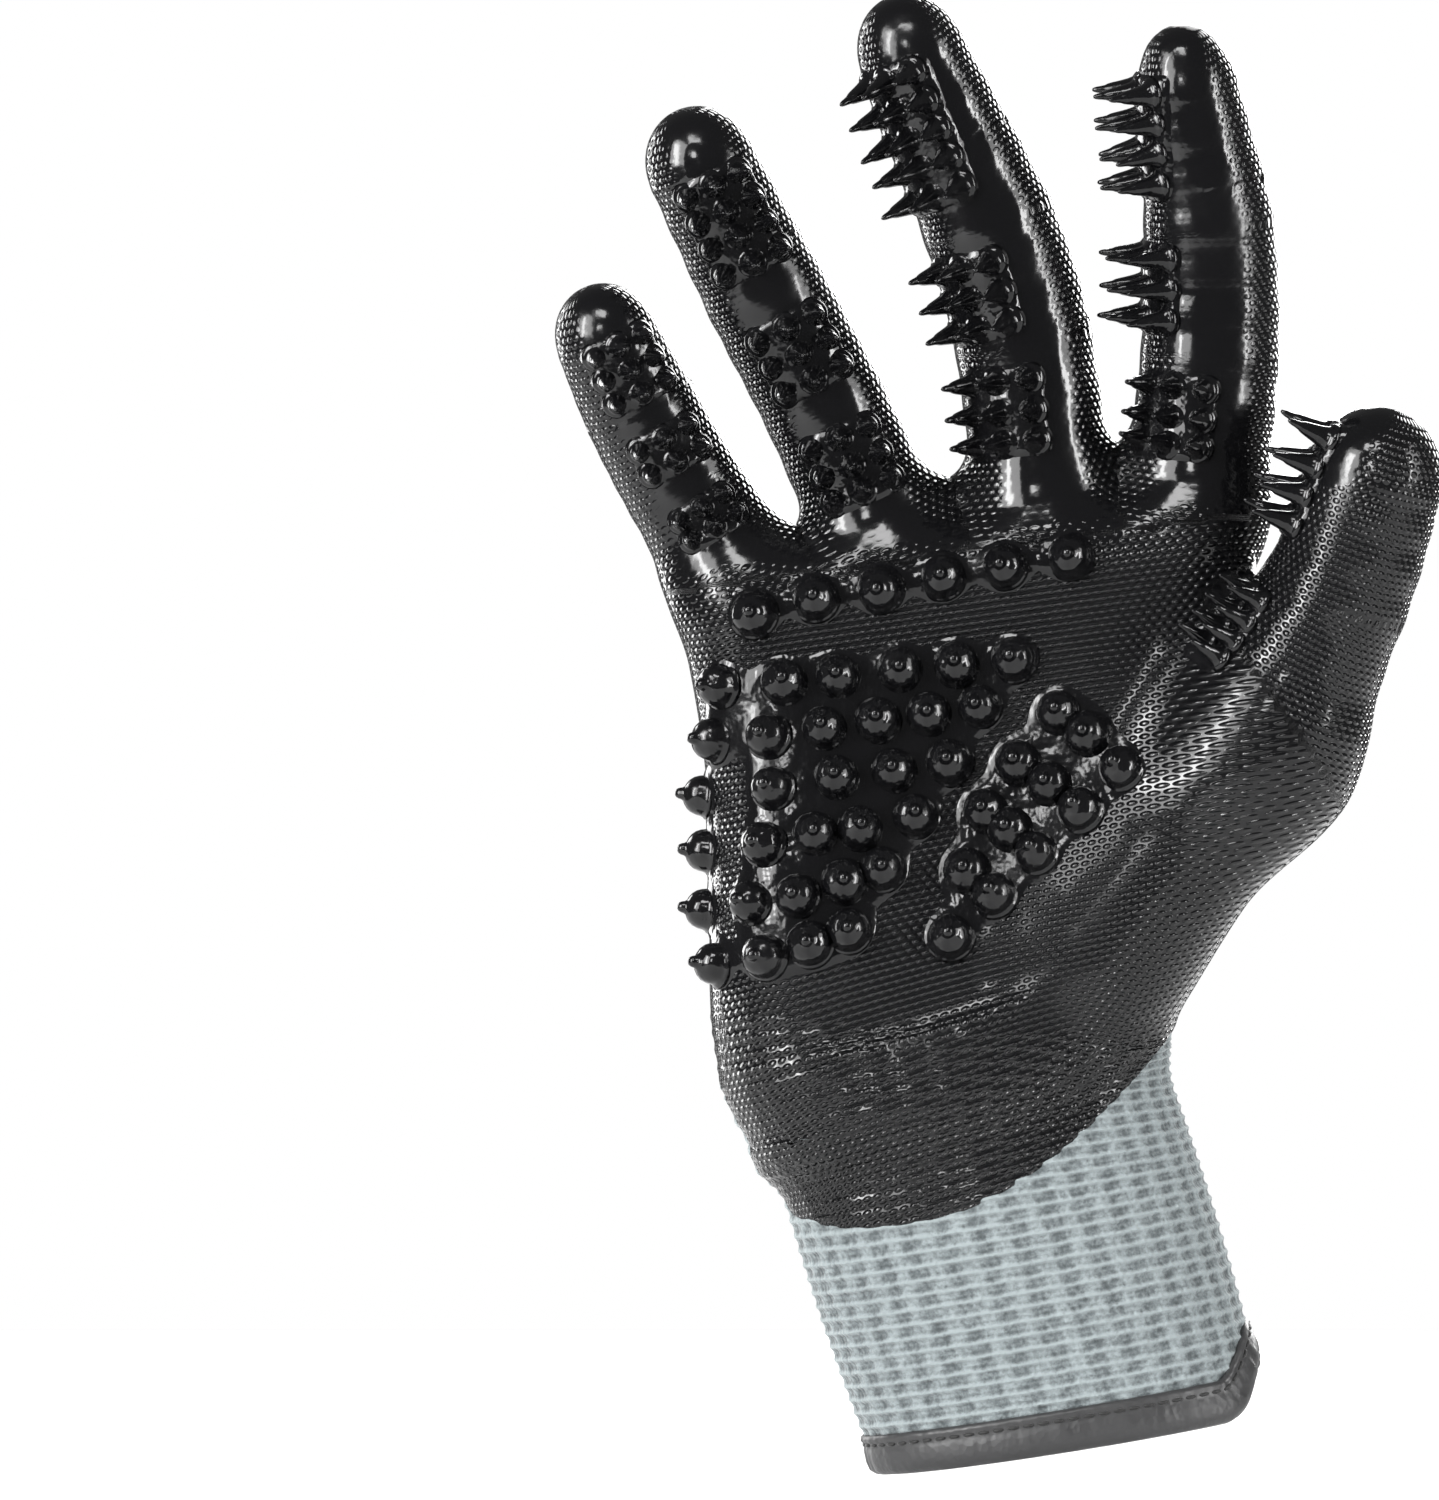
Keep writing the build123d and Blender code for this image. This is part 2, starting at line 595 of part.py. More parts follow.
def seam_stitches(inner, outer):
    """Short stitches inside the strap's edge: along both long sides, across the root, and round the end."""
    middle = STRAP_LOW + STRAP_HEIGHT / 2
    half = STRAP_HEIGHT / 2 - STITCH_INSET
    spots = []
    x = STRAP_END_X + STRAP_CORNER
    while x < STRAP_ROOT_X - 7.5:
        spots += [(x, middle - half, 0), (x, middle + half, 0)]
        x += STITCH_PITCH
    for i in range(5):
        spots.append((STRAP_ROOT_X - 7.0, middle + (i - 2) * 4.2, 90))
    radius = STRAP_CORNER - STITCH_INSET
    for side in (-1, 1):
        for degrees in (25, 52, 78):
            a = math.radians(degrees)
            spots.append(
                (
                    STRAP_END_X + STRAP_CORNER - radius * math.sin(a),
                    middle + side * (half - radius + radius * math.cos(a)),
                    90 - side * (90 - degrees) if side > 0 else 90 + (90 - degrees),
                )
            )
    flat = Sketch()
    for sx, sz, turn in spots:
        flat += Pos(sx, sz) * Rot(0, 0, turn) * SlotOverall(STITCH[0], STITCH[1])
    shell = cuff_wall(outer, inner, STRAP_LOW, STRAP_LOW + STRAP_HEIGHT)
    return shell & (Plane.XZ * extrude(flat, -60))


# ---------------------------------------------------------------- write the parts

SEGMENTS = {4: ("base", "mid", "tip"), 3: ("base", "tip")}


def main():
    os.makedirs("parts", exist_ok=True)
    nodes = {}
    for digit in DIGITS:
        for k, segment in enumerate(SEGMENTS[len(digit.points)]):
            knit, rubber = phalanx(digit, k)
            nodes[f"{digit.name}_{segment}_liner"] = knit
            nodes[f"{digit.name}_{segment}_coating"] = rubber
            nodes[f"{digit.name}_{segment}_nub_pad"] = finger_pad(digit, k, digit.pads[segment])
    nodes["hand_liner"], nodes["palm_coating"] = hand_skins()
    nodes.update(palm_pads())
    for name, shape in {**cuff_parts(), **strap_parts()}.items():
        nodes[name] = CUFF * shape
    for name, shape in nodes.items():
        export_step(shape, f"parts/{name}.step")
    for digit in DIGITS:
        for k in range(len(digit.points) - 1):
            joint = hinge(digit, k)
            print(digit.name, k, list(joint.point), list(joint.axis), bend_limit(digit, k))


main()
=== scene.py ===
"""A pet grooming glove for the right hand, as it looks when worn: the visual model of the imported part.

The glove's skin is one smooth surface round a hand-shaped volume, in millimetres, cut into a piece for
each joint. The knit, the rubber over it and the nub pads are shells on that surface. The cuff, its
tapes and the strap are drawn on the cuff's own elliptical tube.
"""

import json
import math

import bpy
import numpy as np
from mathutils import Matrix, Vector


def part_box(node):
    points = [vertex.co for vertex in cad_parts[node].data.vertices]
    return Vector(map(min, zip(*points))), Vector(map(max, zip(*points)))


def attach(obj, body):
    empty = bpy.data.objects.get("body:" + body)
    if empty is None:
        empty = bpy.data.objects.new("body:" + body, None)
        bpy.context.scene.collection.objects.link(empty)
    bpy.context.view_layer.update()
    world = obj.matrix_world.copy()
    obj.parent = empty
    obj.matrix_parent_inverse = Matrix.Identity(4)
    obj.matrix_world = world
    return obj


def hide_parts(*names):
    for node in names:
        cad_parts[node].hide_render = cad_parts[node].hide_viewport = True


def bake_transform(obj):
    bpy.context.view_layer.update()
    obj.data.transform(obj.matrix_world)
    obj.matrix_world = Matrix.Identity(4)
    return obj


MM = 0.001
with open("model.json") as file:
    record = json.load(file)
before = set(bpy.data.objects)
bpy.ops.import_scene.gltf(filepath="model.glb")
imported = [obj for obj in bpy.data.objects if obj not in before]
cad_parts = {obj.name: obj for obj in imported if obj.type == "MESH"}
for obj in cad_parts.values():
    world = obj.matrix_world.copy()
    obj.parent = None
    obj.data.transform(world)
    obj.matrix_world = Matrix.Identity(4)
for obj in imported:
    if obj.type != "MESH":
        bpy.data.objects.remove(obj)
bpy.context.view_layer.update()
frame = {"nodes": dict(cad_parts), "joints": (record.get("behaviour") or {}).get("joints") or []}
JOINTS = {joint["name"]: joint for joint in frame["joints"]}
rng = np.random.default_rng(7)

# ---------------------------------------------------------------- sizes, in millimetres

HINGE_DEPTH = 4.0
GRID_STEP = 0.95
# The box that the skin is looked for in; it reaches past every fingertip
GRID_LOW = np.array([-89.8, -38.0, 52.0])
GRID_HIGH = np.array([66.0, 24.0, 250.0])
FAR_AWAY = 40.0
LINER_WALL = 1.3
COAT_THICK = 0.6
COAT_LIFT = 0.08
COAT_WALL = 0.3
PLATE_THICK = 1.5
PLATE_CORNER = 2.6
PLATE_MARGIN = 0.9

DIGIT_RADII = {
    "little": (10.0, 9.4, 9.0, 8.2),
    "ring": (10.3, 9.9, 9.7, 8.9),
    "middle": (11.2, 11.1, 10.7, 8.8),
    "index": (11.3, 11.1, 10.4, 8.8),
    "thumb": (12.8, 11.6, 10.8),
}
# Share of the last radius at the fingertip's joint, then the end ball's radius and how far out it sits
FINGERTIPS = {
    "little": (0.97, 0.86, 0.17),
    "ring": (0.97, 0.86, 0.17),
    "middle": (0.96, 0.84, 0.2),
    "index": (0.90, 0.74, 0.38),
    "thumb": (0.97, 0.88, 0.14),
}
SEGMENTS = {4: ("base", "mid", "tip"), 3: ("base", "tip")}
JOINT_WORDS = ("knuckle", "curl", "end_curl")

# Palm sections: height, centre x, half width, half depth, lean towards the little finger in degrees
PALM_HEIGHTS = (62.0, 84.0, 115.0, 140.0, 153.2)
PALM_CENTRES = (-20.5, -20.4, -18.6, -18.4, -18.6)
PALM_HALF_WIDTHS = (33.6, 40.8, 43.0, 46.8, 49.2)
PALM_HALF_DEPTHS = (19.4, 17.6, 15.6, 13.4, 12.6)
PALM_LEANS = (18.0, 14.0, 10.0, 8.0, 7.6)
PALM_FLAT = 1.2
ROOF = (np.array([-18.6, 0.0, 153.2]), 7.6)
ROOF_ROUNDING = 8.0
THUMB_ROOT = (np.array([4.0, -5.0, 84.0]), 15.0)

# How far the web between two digits rises above the knuckle line, and its radius
WEBS = {("little", "ring"): (3.4, 4.6), ("ring", "middle"): (9.4, 4.4), ("middle", "index"): (10.4, 4.4)}

# Cuff
CUFF_LEAN = math.radians(18.0)
CUFF_HEIGHT = 66.0
# Where the plain knit begins: the height at x 0, and how much it falls with x
RIB_TOP = 72.0
RIB_TOP_SLOPE = 0.05
CUFF_LEVELS = (0.0, 22.0, 44.0, 66.0)
CUFF_HALF_WIDTHS = (32.6, 34.0, 34.2, 33.4)
CUFF_HALF_DEPTHS = (20.3, 20.3, 19.8, 19.2)

# Bending zones, along the finger from the joint: start, end
KNUCKLE_ZONE = (-1.0, 9.0)
CURL_ZONE = (-3.0, 6.5)
END_ZONE = (-3.0, 5.5)
THUMB_ZONE_DIRECTION = np.array([0.835, 0.0, 0.55])
HAND_CUT = -2.5
THUMB_CUT = 10.5

# Knit
WALE = 1.75
COURSE = 1.15

# Nub pads of the digits: along the phalanx, facing in degrees towards the little finger, rows, columns,
# pitch, height and base radius of a nub
PADS = {
    "little": (
        (10.6, -4, 2, 3, 4.0, 5.0, 1.8),
        (7.6, -6, 2, 3, 4.3, 5.0, 1.9),
        (8.4, -8, 3, 3, 4.3, 5.0, 1.9),
    ),
    "ring": (
        (16.0, 2, 3, 3, 4.8, 6.5, 2.1),
        (11.0, 0, 3, 3, 4.8, 6.5, 2.1),
        (14.0, 0, 4, 3, 4.8, 6.5, 2.1),
    ),
    "middle": (
        (20.5, 30, 3, 3, 5.2, 7.5, 2.2),
        (10.7, 38, 3, 3, 5.2, 7.5, 2.2),
        (19.0, 42, 5, 3, 5.2, 7.5, 2.2),
    ),
    "index": (
        (15.4, 30, 3, 3, 4.9, 6.6, 2.1),
        (12.0, 72, 3, 3, 5.2, 7.5, 2.2),
        (17.0, 78, 4, 3, 5.2, 7.5, 2.2),
    ),
    "thumb": (
        (18.0, 78, 4, 2, 4.1, 6.5, 1.9),
        (18.0, 84, 4, 2, 5.2, 7.8, 2.2),
    ),
}
# Rows of broad nubs on the palm: first nub (x, z), last nub (x, z), number
PALM_ROWS = {
    "pad_palm_ridge": (((-54.7, 140.6), (-1.5, 150.2), 6),),
    "pad_palm_field": (
        ((-59.6, 128.4), (-11.0, 132.6), 6),
        ((-60.6, 118.8), (-16.8, 124.4), 6),
        ((-61.2, 109.4), (-22.0, 115.9), 5),
        ((-61.2, 100.0), (-27.9, 106.4), 5),
        ((-61.0, 90.4), (-33.2, 97.0), 5),
        ((-60.0, 81.0), (-38.9, 86.8), 4),
    ),
    "pad_palm_heel": (
        ((-21.6, 85.9), (8.0, 114.2), 5),
        ((-19.0, 97.0), (0.9, 119.3), 4),
        ((-16.0, 107.1), (-3.9, 123.5), 3),
    ),
}
PALM_NUB_HEIGHT = 5.4
PALM_PLATE_RISE = 0.9
PALM_NUB_BASE = 3.75
PALM_NUB_LEAN = np.array([-0.14, -0.1, 0.13])


# ---------------------------------------------------------------- small mathematics


def unit(v):
    return np.asarray(v, float) / np.linalg.norm(v)


def smoothstep(x, low=0.0, high=1.0):
    t = np.clip((x - low) / (high - low), 0.0, 1.0)
    return t * t * (3 - 2 * t)


def smooth_min(a, b, k):
    h = np.clip(0.5 + 0.5 * (b - a) / k, 0.0, 1.0)
    return b + (a - b) * h - k * h * (1 - h)


def smooth_max(a, b, k):
    return -smooth_min(-a, -b, k)


def through(xs, ys):
    """A smooth curve through a few points, as a function, level beyond its ends."""
    curve = np.polyfit(xs, ys, len(xs) - 1)
    return lambda x: np.polyval(curve, np.clip(x, xs[0], xs[-1]))


# ---------------------------------------------------------------- the hand's skeleton, from the joints


def palm_side(axis, bone):
    """The direction across a bone that a hinge turns in, on the palm's side."""
    across = unit(np.cross(axis, bone))
    return across if across[1] < 0 else -across


class Digit:
    """A digit's joint centres, radii, bones and hinges, in millimetres."""

    def __init__(self, name):
        self.name = name
        self.radii = DIGIT_RADII[name]
        self.segments = SEGMENTS[len(self.radii)]
        self.hinges = [JOINTS[f"{name}_{word}"] for word in JOINT_WORDS[: len(self.segments)]]
        self.points = self.find_points()
        self.bones = [unit(b - a) for a, b in zip(self.points, self.points[1:])]
        self.lengths = [np.linalg.norm(b - a) for a, b in zip(self.points, self.points[1:])]
        axes = [unit(h["axis"]) for h in self.hinges]
        self.palmars = [palm_side(a, b) for a, b in zip(axes, self.bones)]
        self.chain = self.skin_chain()

    def find_points(self):
        """The joint centres: each lies behind its hinge, by the radius less the hinge's depth."""
        places = [np.array(h["pos_m"]) / MM for h in self.hinges]
        low, high = (np.array(corner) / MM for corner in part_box(f"{self.name}_tip_liner"))
        r = self.radii[-1]
        side = high[0] - r if self.name == "thumb" else low[0] + r
        points = places + [np.array([side, low[1] + r, high[2] - r])]
        for _ in range(8):
            for k in reversed(range(len(places))):
                bone = unit(points[k + 1] - points[k])
                palmar = palm_side(unit(self.hinges[k]["axis"]), bone)
                if k == 0 and self.name != "thumb":
                    palmar = np.array([0.0, -1.0, 0.0])
                points[k] = places[k] - palmar * (self.radii[k] - HINGE_DEPTH)
        return points

    def skin_chain(self):
        """Balls along the digit, as (centre, radius): a smooth curve through its joints, and its tip."""
        share, end_share, reach = FINGERTIPS[self.name]
        radii = np.array([*self.radii[:-1], self.radii[-1] * share])
        points = np.array(self.points)
        before, after = 2 * points[0] - points[1], 2 * points[-1] - points[-2]
        knots = np.vstack([before, points, after])
        chain = []
        for k in range(len(points) - 1):
            p0, p1, p2, p3 = knots[k : k + 4]
            for t in (0.0, 1 / 3, 2 / 3):
                curve = 2 * p1 + (p2 - p0) * t + (2 * p0 - 5 * p1 + 4 * p2 - p3) * t**2
                curve += (3 * p1 - p0 - 3 * p2 + p3) * t**3
                chain.append((curve / 2, radii[k] + (radii[k + 1] - radii[k]) * t))
        r = self.radii[-1]
        chain.append((points[-1], radii[-1]))
        chain.append((points[-1] + self.bones[-1] * reach * r, end_share * r))
        return chain

    def distance(self, p):
        """Distance from p to the digit's own skin, or a large number far from it."""
        total = np.full(len(p), FAR_AWAY)
        balls = [ball for ball, _ in self.chain]
        near = np.all((p > np.min(balls, 0) - 32) & (p < np.max(balls, 0) + 32), axis=1)
        q = p[near]
        own = np.full(len(q), FAR_AWAY)
        for (a, ra), (b, rb) in zip(self.chain, self.chain[1:]):
            own = smooth_min(own, capsule(q, a, b, ra, rb), 0.8)
        total[near] = own
        return total

    def cuts(self):
        """Where each phalanx is cut, along it from its lower joint: where neither joint bends it."""
        zones = [joint_zone(self, k) for k in range(len(self.segments))]
        pairs = zip(zones, zones[1:], self.lengths)
        return [0.5 * (before[1] + 1.0 + length + after[0]) for before, after, length in pairs]


def joint_zone(digit, k):
    if k == 0:
        return KNUCKLE_ZONE if digit.name != "thumb" else (2.0, 14.0)
    return CURL_ZONE if k == 1 else END_ZONE


DIGITS = {name: Digit(name) for name in DIGIT_RADII}
ROOF_UP = np.array([-math.sin(math.radians(ROOF[1])), 0.0, math.cos(math.radians(ROOF[1]))])
CUFF_ACROSS = np.array([math.cos(CUFF_LEAN), 0.0, math.sin(CUFF_LEAN)])
CUFF_OUT = np.array([0.0, 1.0, 0.0])
CUFF_UP = np.array([-math.sin(CUFF_LEAN), 0.0, math.cos(CUFF_LEAN)])

palm_centre = through(PALM_HEIGHTS, PALM_CENTRES)
palm_half_width = through(PALM_HEIGHTS, PALM_HALF_WIDTHS)
palm_half_depth = through(PALM_HEIGHTS, PALM_HALF_DEPTHS)
palm_lean = through(PALM_HEIGHTS, PALM_LEANS)
cuff_half_width = through(CUFF_LEVELS, CUFF_HALF_WIDTHS)
cuff_half_depth = through(CUFF_LEVELS, CUFF_HALF_DEPTHS)


# ---------------------------------------------------------------- the glove's volume, as a distance


def palm_level(p):
    """How high p lies in the palm, along its leaning sections."""
    return p[:, 2] - np.tan(np.radians(palm_lean(p[:, 2]))) * (p[:, 0] - palm_centre(p[:, 2]))


def palm_relief(p):
    """How far the palm side stands out: the heel's two muscles, and the hollow between them."""
    x, z = p[:, 0], p[:, 2]
    hollow = np.exp(-(((x + 20) / 17) ** 2) - ((z - 112) / 26) ** 2)
    outer = np.exp(-(((x + 48) / 15) ** 2) - ((z - 98) / 26) ** 2)
    ridge = np.exp(-(((z - 0.16 * (x + 28) - 145) / 8) ** 2))
    return 1.6 * outer + 1.4 * ridge - 2.0 * hollow


def palm_distance(p):
    level = palm_level(p)
    a, b = palm_half_width(level), palm_half_depth(level)
    x = np.abs(p[:, 0] - palm_centre(level))
    y = np.abs(np.where(p[:, 1] < 0, np.minimum(p[:, 1] + palm_relief(p), 0.0), p[:, 1]))
    corner = b - PALM_FLAT
    qx, qy = x - (a - corner), y - (b - corner)
    outside = np.hypot(np.maximum(qx, 0), np.maximum(qy, 0))
    side = outside + np.minimum(np.maximum(qx, qy), 0) - corner
    top = (p - ROOF[0]) @ ROOF_UP - 2.0
    bottom = 60.0 - p @ CUFF_UP
    return smooth_max(smooth_max(side, top, ROOF_ROUNDING), bottom, 6.0)


def over_rib_top(p):
    """How far p lies above the line where the ribbed knit ends and the plain knit begins."""
    return p[:, 2] + RIB_TOP_SLOPE * p[:, 0] - RIB_TOP


def cuff_coordinates(p):
    """p in the cuff's own frame: across, out of the back, up."""
    return p @ CUFF_ACROSS, p[:, 1], p @ CUFF_UP


def cuff_distance(p):
    x, y, z = cuff_coordinates(p)
    a, b = cuff_half_width(z), cuff_half_depth(z)
    rho = np.sqrt((x / a) ** 2 + (y / b) ** 2) + 1e-9
    slope = np.sqrt((x / a**2) ** 2 + (y / b**2) ** 2) / rho + 1e-9
    return np.maximum((rho - 1) / slope, z - CUFF_HEIGHT - 6)


def capsule(p, a, b, ra, rb):
    ab = b - a
    t = np.clip((p - a) @ ab / (ab @ ab), 0.0, 1.0)
    return np.linalg.norm(p - a - t[:, None] * ab, axis=1) - (ra + (rb - ra) * t)


def web_distance(p, pair):
    """The bridge of skin between two neighbouring fingers."""
    rise, r = WEBS[pair]
    ends = []
    for name in pair:
        digit = DIGITS[name]
        along = (rise - r) / (digit.bones[0] @ ROOF_UP)
        ends.append(digit.points[0] + digit.bones[0] * along)
    return capsule(p, ends[0], ends[1], r, r)


def glove_distance(p):
    """Distance from points p to the glove's skin, negative inside."""
    thumb = DIGITS["thumb"]
    root = capsule(p, THUMB_ROOT[0], thumb.points[0], THUMB_ROOT[1], thumb.radii[0])
    hand = smooth_min(palm_distance(p), root, 11.0)
    hand = smooth_min(hand, cuff_distance(p), 8.0)
    for pair in WEBS:
        hand = smooth_min(hand, web_distance(p, pair), 5.0)
    total = hand
    for digit in DIGITS.values():
        spread = 14.0 if digit.name == "thumb" else 8.0
        total = np.minimum(total, smooth_min(hand, digit.distance(p), spread))
    return total


def gradient(p, step=0.05):
    g = np.empty_like(p)
    for i in range(3):
        shift = np.zeros(3)
        shift[i] = step
        g[:, i] = (glove_distance(p + shift) - glove_distance(p - shift)) / (2 * step)
    return g


def onto_skin(p, height=0.0, rounds=3):
    """p moved straight onto the skin, or to a height above it, with the skin's normals there."""
    for _ in range(rounds):
        g = gradient(p)
        size = np.maximum((g**2).sum(1), 1e-6)
        p = p - g * ((glove_distance(p) - height) / size)[:, None]
    g = gradient(p)
    return p, g / np.linalg.norm(g, axis=1)[:, None]


# ---------------------------------------------------------------- surfaces


def surface_net(value, origin, step):
    """The quads of the surface where value is 0, on a grid, with one corner in each cell it crosses."""
    cells = np.array(value.shape) - 1
    total, count = np.zeros((*cells, 3)), np.zeros(cells)
    crossings = []
    for axis in range(3):
        other = [i for i in range(3) if i != axis]
        a = np.take(value, range(value.shape[axis] - 1), axis)
        b = np.take(value, range(1, value.shape[axis]), axis)
        i = np.argwhere((a < 0) != (b < 0))
        inner = np.all([(i[:, o] > 0) & (i[:, o] < value.shape[o] - 1) for o in other], axis=0)
        i = i[inner]
        va, vb = a[tuple(i.T)], b[tuple(i.T)]
        point = i.astype(float)
        point[:, axis] += va / (va - vb)
        ring = []
        for du, dv in ((-1, -1), (0, -1), (0, 0), (-1, 0)):
            cell = i.copy()
            cell[:, other[0]] += du
            cell[:, other[1]] += dv
            np.add.at(total, tuple(cell.T), point)
            np.add.at(count, tuple(cell.T), 1)
            ring.append(np.ravel_multi_index(tuple(cell.T), cells))
        ring = np.stack(ring, 1)
        flip = (va < 0) == (axis == 1)
        ring[flip] = ring[flip][:, ::-1]
        crossings.append(ring)
    used = np.flatnonzero(count.ravel() > 0)
    index = np.full(count.size, -1)
    index[used] = np.arange(len(used))
    points = total.reshape(-1, 3)[used] / count.ravel()[used][:, None]
    return origin + points * step, index[np.concatenate(crossings)]


def skin_surface():
    """The whole skin above the cuff: points, normals and triangles."""
    axes = [np.arange(a, b, GRID_STEP) for a, b in zip(GRID_LOW, GRID_HIGH)]
    value = np.empty([len(a) for a in axes])
    yz = np.stack(np.meshgrid(axes[1], axes[2], indexing="ij"), -1).reshape(-1, 2)
    for i, x in enumerate(axes[0]):
        p = np.column_stack([np.full(len(yz), x), yz])
        value[i] = glove_distance(p).reshape(len(axes[1]), len(axes[2]))
    points, quads = surface_net(value, GRID_LOW, GRID_STEP)
    points, normals = onto_skin(points)
    keep = over_rib_top(points)[quads].max(1) > -2.0
    quads = quads[keep]
    triangles = np.concatenate([quads[:, [0, 1, 2]], quads[:, [0, 2, 3]]])
    return Surface(points, normals, triangles).compact()


def smooth_mesh(name, points, faces):
    """A smooth-shaded mesh of points in millimetres."""
    mesh = bpy.data.meshes.new(name)
    mesh.from_pydata(np.asarray(points) * MM, [], faces)
    mesh.polygons.foreach_set("use_smooth", [True] * len(faces))
    return mesh


class Surface:
    """Points, normals and triangles, with any further values of the points."""

    def __init__(self, points, normals, triangles, **values):
        self.points, self.normals, self.triangles, self.values = points, normals, triangles, values

    def compact(self):
        used, inverse = np.unique(self.triangles, return_inverse=True)
        values = {name: value[used] for name, value in self.values.items()}
        return Surface(self.points[used], self.normals[used], inverse.reshape(-1, 3), **values)

    def part(self, chosen):
        return Surface(self.points, self.normals, self.triangles[chosen], **self.values).compact()

    def clip(self, level):
        """The part where level is above 0, with its edge run exactly where level is 0. The level is
        kept as the value 'depth', so that a shell can round its edge."""
        values = {**self.values, "depth": level}
        inside = level[self.triangles] > 0
        whole = inside.all(1)
        mixed = inside.any(1) & ~whole
        edges, extra, triangles = {}, [], []

        def crossing(i, j):
            key = (min(i, j), max(i, j))
            if key not in edges:
                t = level[i] / (level[i] - level[j])
                edges[key] = len(self.points) + len(extra)
                extra.append((i, j, t))
            return edges[key]

        for corners in self.triangles[mixed]:
            state = [level[c] > 0 for c in corners]
            turn = state.index(sum(state) == 1)
            a, b, c = (int(corners[(turn + n) % 3]) for n in range(3))
            ab, ca = crossing(a, b), crossing(c, a)
            if sum(state) == 1:
                triangles.append((a, ab, ca))
            else:
                triangles += [(ab, b, c), (ab, c, ca)]
        if extra:
            i, j, t = (np.array(column) for column in zip(*extra))
            t = t[:, None]
            points = np.concatenate([self.points, self.points[i] * (1 - t) + self.points[j] * t])
            normals = np.concatenate([self.normals, self.normals[i] * (1 - t) + self.normals[j] * t])
            for name, value in values.items():
                w = t if value.ndim > 1 else t[:, 0]
                values[name] = np.concatenate([value, value[i] * (1 - w) + value[j] * w])
            triangles = np.concatenate([self.triangles[whole], np.array(triangles)])
        else:
            points, normals, triangles = self.points, self.normals, self.triangles[whole]
        normals = normals / np.linalg.norm(normals, axis=1)[:, None]
        return Surface(points, normals, triangles, **values).compact()

    def raised(self, height):
        """The surface moved out along its normals by height, with the new surface's own normals."""
        points = self.points + self.normals * np.reshape(height, (-1, 1))
        corner = points[self.triangles]
        face = np.cross(corner[:, 1] - corner[:, 0], corner[:, 2] - corner[:, 0])
        normals = np.zeros_like(points)
        for i in range(3):
            np.add.at(normals, self.triangles[:, i], face)
        normals /= np.maximum(np.linalg.norm(normals, axis=1), 1e-12)[:, None]
        return Surface(points, normals, self.triangles, **self.values, base=self.points, out=self.normals)

    def shell_mesh(self, name, inner):
        """A closed mesh: this surface outside, its base moved in by inner inside, and a rim between."""
        base, out = self.values.get("base", self.points), self.values.get("out", self.normals)
        n = len(self.points)
        points = np.concatenate([self.points, base - out * inner])
        outer = self.triangles
        back = outer[:, ::-1] + n
        directed = np.concatenate([outer[:, [0, 1]], outer[:, [1, 2]], outer[:, [2, 0]]])
        keys = {tuple(e) for e in directed.tolist()}
        rim = np.array([(b, a, a + n, b + n) for a, b in keys if (b, a) not in keys])
        faces = np.concatenate([outer, back]).tolist() + rim.tolist()
        mesh = smooth_mesh(name, points, faces)
        mesh.normals_split_custom_set_from_vertices(np.concatenate([self.normals, -out]).tolist())
        return mesh


# ---------------------------------------------------------------- where things lie on the skin


def digit_charts(points):
    """For each point: its digit, its level above the knuckle line, its phalanx, its distance along the
    digit and its angle round it from the back, positive towards the thumb."""
    names = list(DIGITS)
    distance = np.stack([DIGITS[name].distance(points) for name in names], 1)
    owner = distance.argmin(1)
    charts = {"owner": owner, "level": (points - ROOF[0]) @ ROOF_UP}
    phalanx, along, angle, radius = (np.zeros(len(points)) for _ in range(4))
    for number, name in enumerate(names):
        digit = DIGITS[name]
        mine = owner == number
        p = points[mine]
        k = np.zeros(len(p), int)
        for n, cut in enumerate(digit.cuts()):
            k[((p - digit.points[n]) @ digit.bones[n] > cut) & (k == n)] = n + 1
        s, turn, r = (np.zeros(len(p)) for _ in range(3))
        before = 0.0
        nearest = np.full(len(p), np.inf)
        for n, (start, bone, length) in enumerate(zip(digit.points, digit.bones, digit.lengths)):
            rel = p - start
            t = rel @ bone
            low = -1e9 if n == 0 else 0.0
            high = 1e9 if n == len(digit.bones) - 1 else length
            clamped = np.clip(t, low, high)
            away = np.linalg.norm(rel - clamped[:, None] * bone, axis=1)
            better = away < nearest
            dorsal = -digit.palmars[n]
            side = np.cross(dorsal, bone)
            flat = rel - t[:, None] * bone
            a = np.arctan2(flat @ side, flat @ dorsal)
            s = np.where(better, before + clamped, s)
            turn = np.where(better, a, turn)
            r = np.where(better, away, r)
            nearest = np.minimum(nearest, away)
            before += length
        phalanx[mine], along[mine], angle[mine], radius[mine] = k, s, turn, r
    return {**charts, "phalanx": phalanx.astype(int), "along": along, "angle": angle, "radius": radius}


def piece_numbers(points, charts):
    """The piece each point belongs to: 0 for the hand, then 10 * digit + phalanx + 10."""
    names = list(DIGITS)
    on_finger = (charts["owner"] != names.index("thumb")) & (charts["level"] > HAND_CUT)
    thumb_level = thumb_progress(points)
    on_thumb = (charts["owner"] == names.index("thumb")) & (thumb_level > THUMB_CUT)
    number = 10 * charts["owner"] + charts["phalanx"] + 10
    return np.where(on_finger | on_thumb, number, 0)


def thumb_progress(points):
    """How far points lie past the thumb's hinge, in the direction in which the thumb's web bends."""
    hinge = np.array(DIGITS["thumb"].hinges[0]["pos_m"]) / MM
    return (points - hinge) @ unit(THUMB_ZONE_DIRECTION)


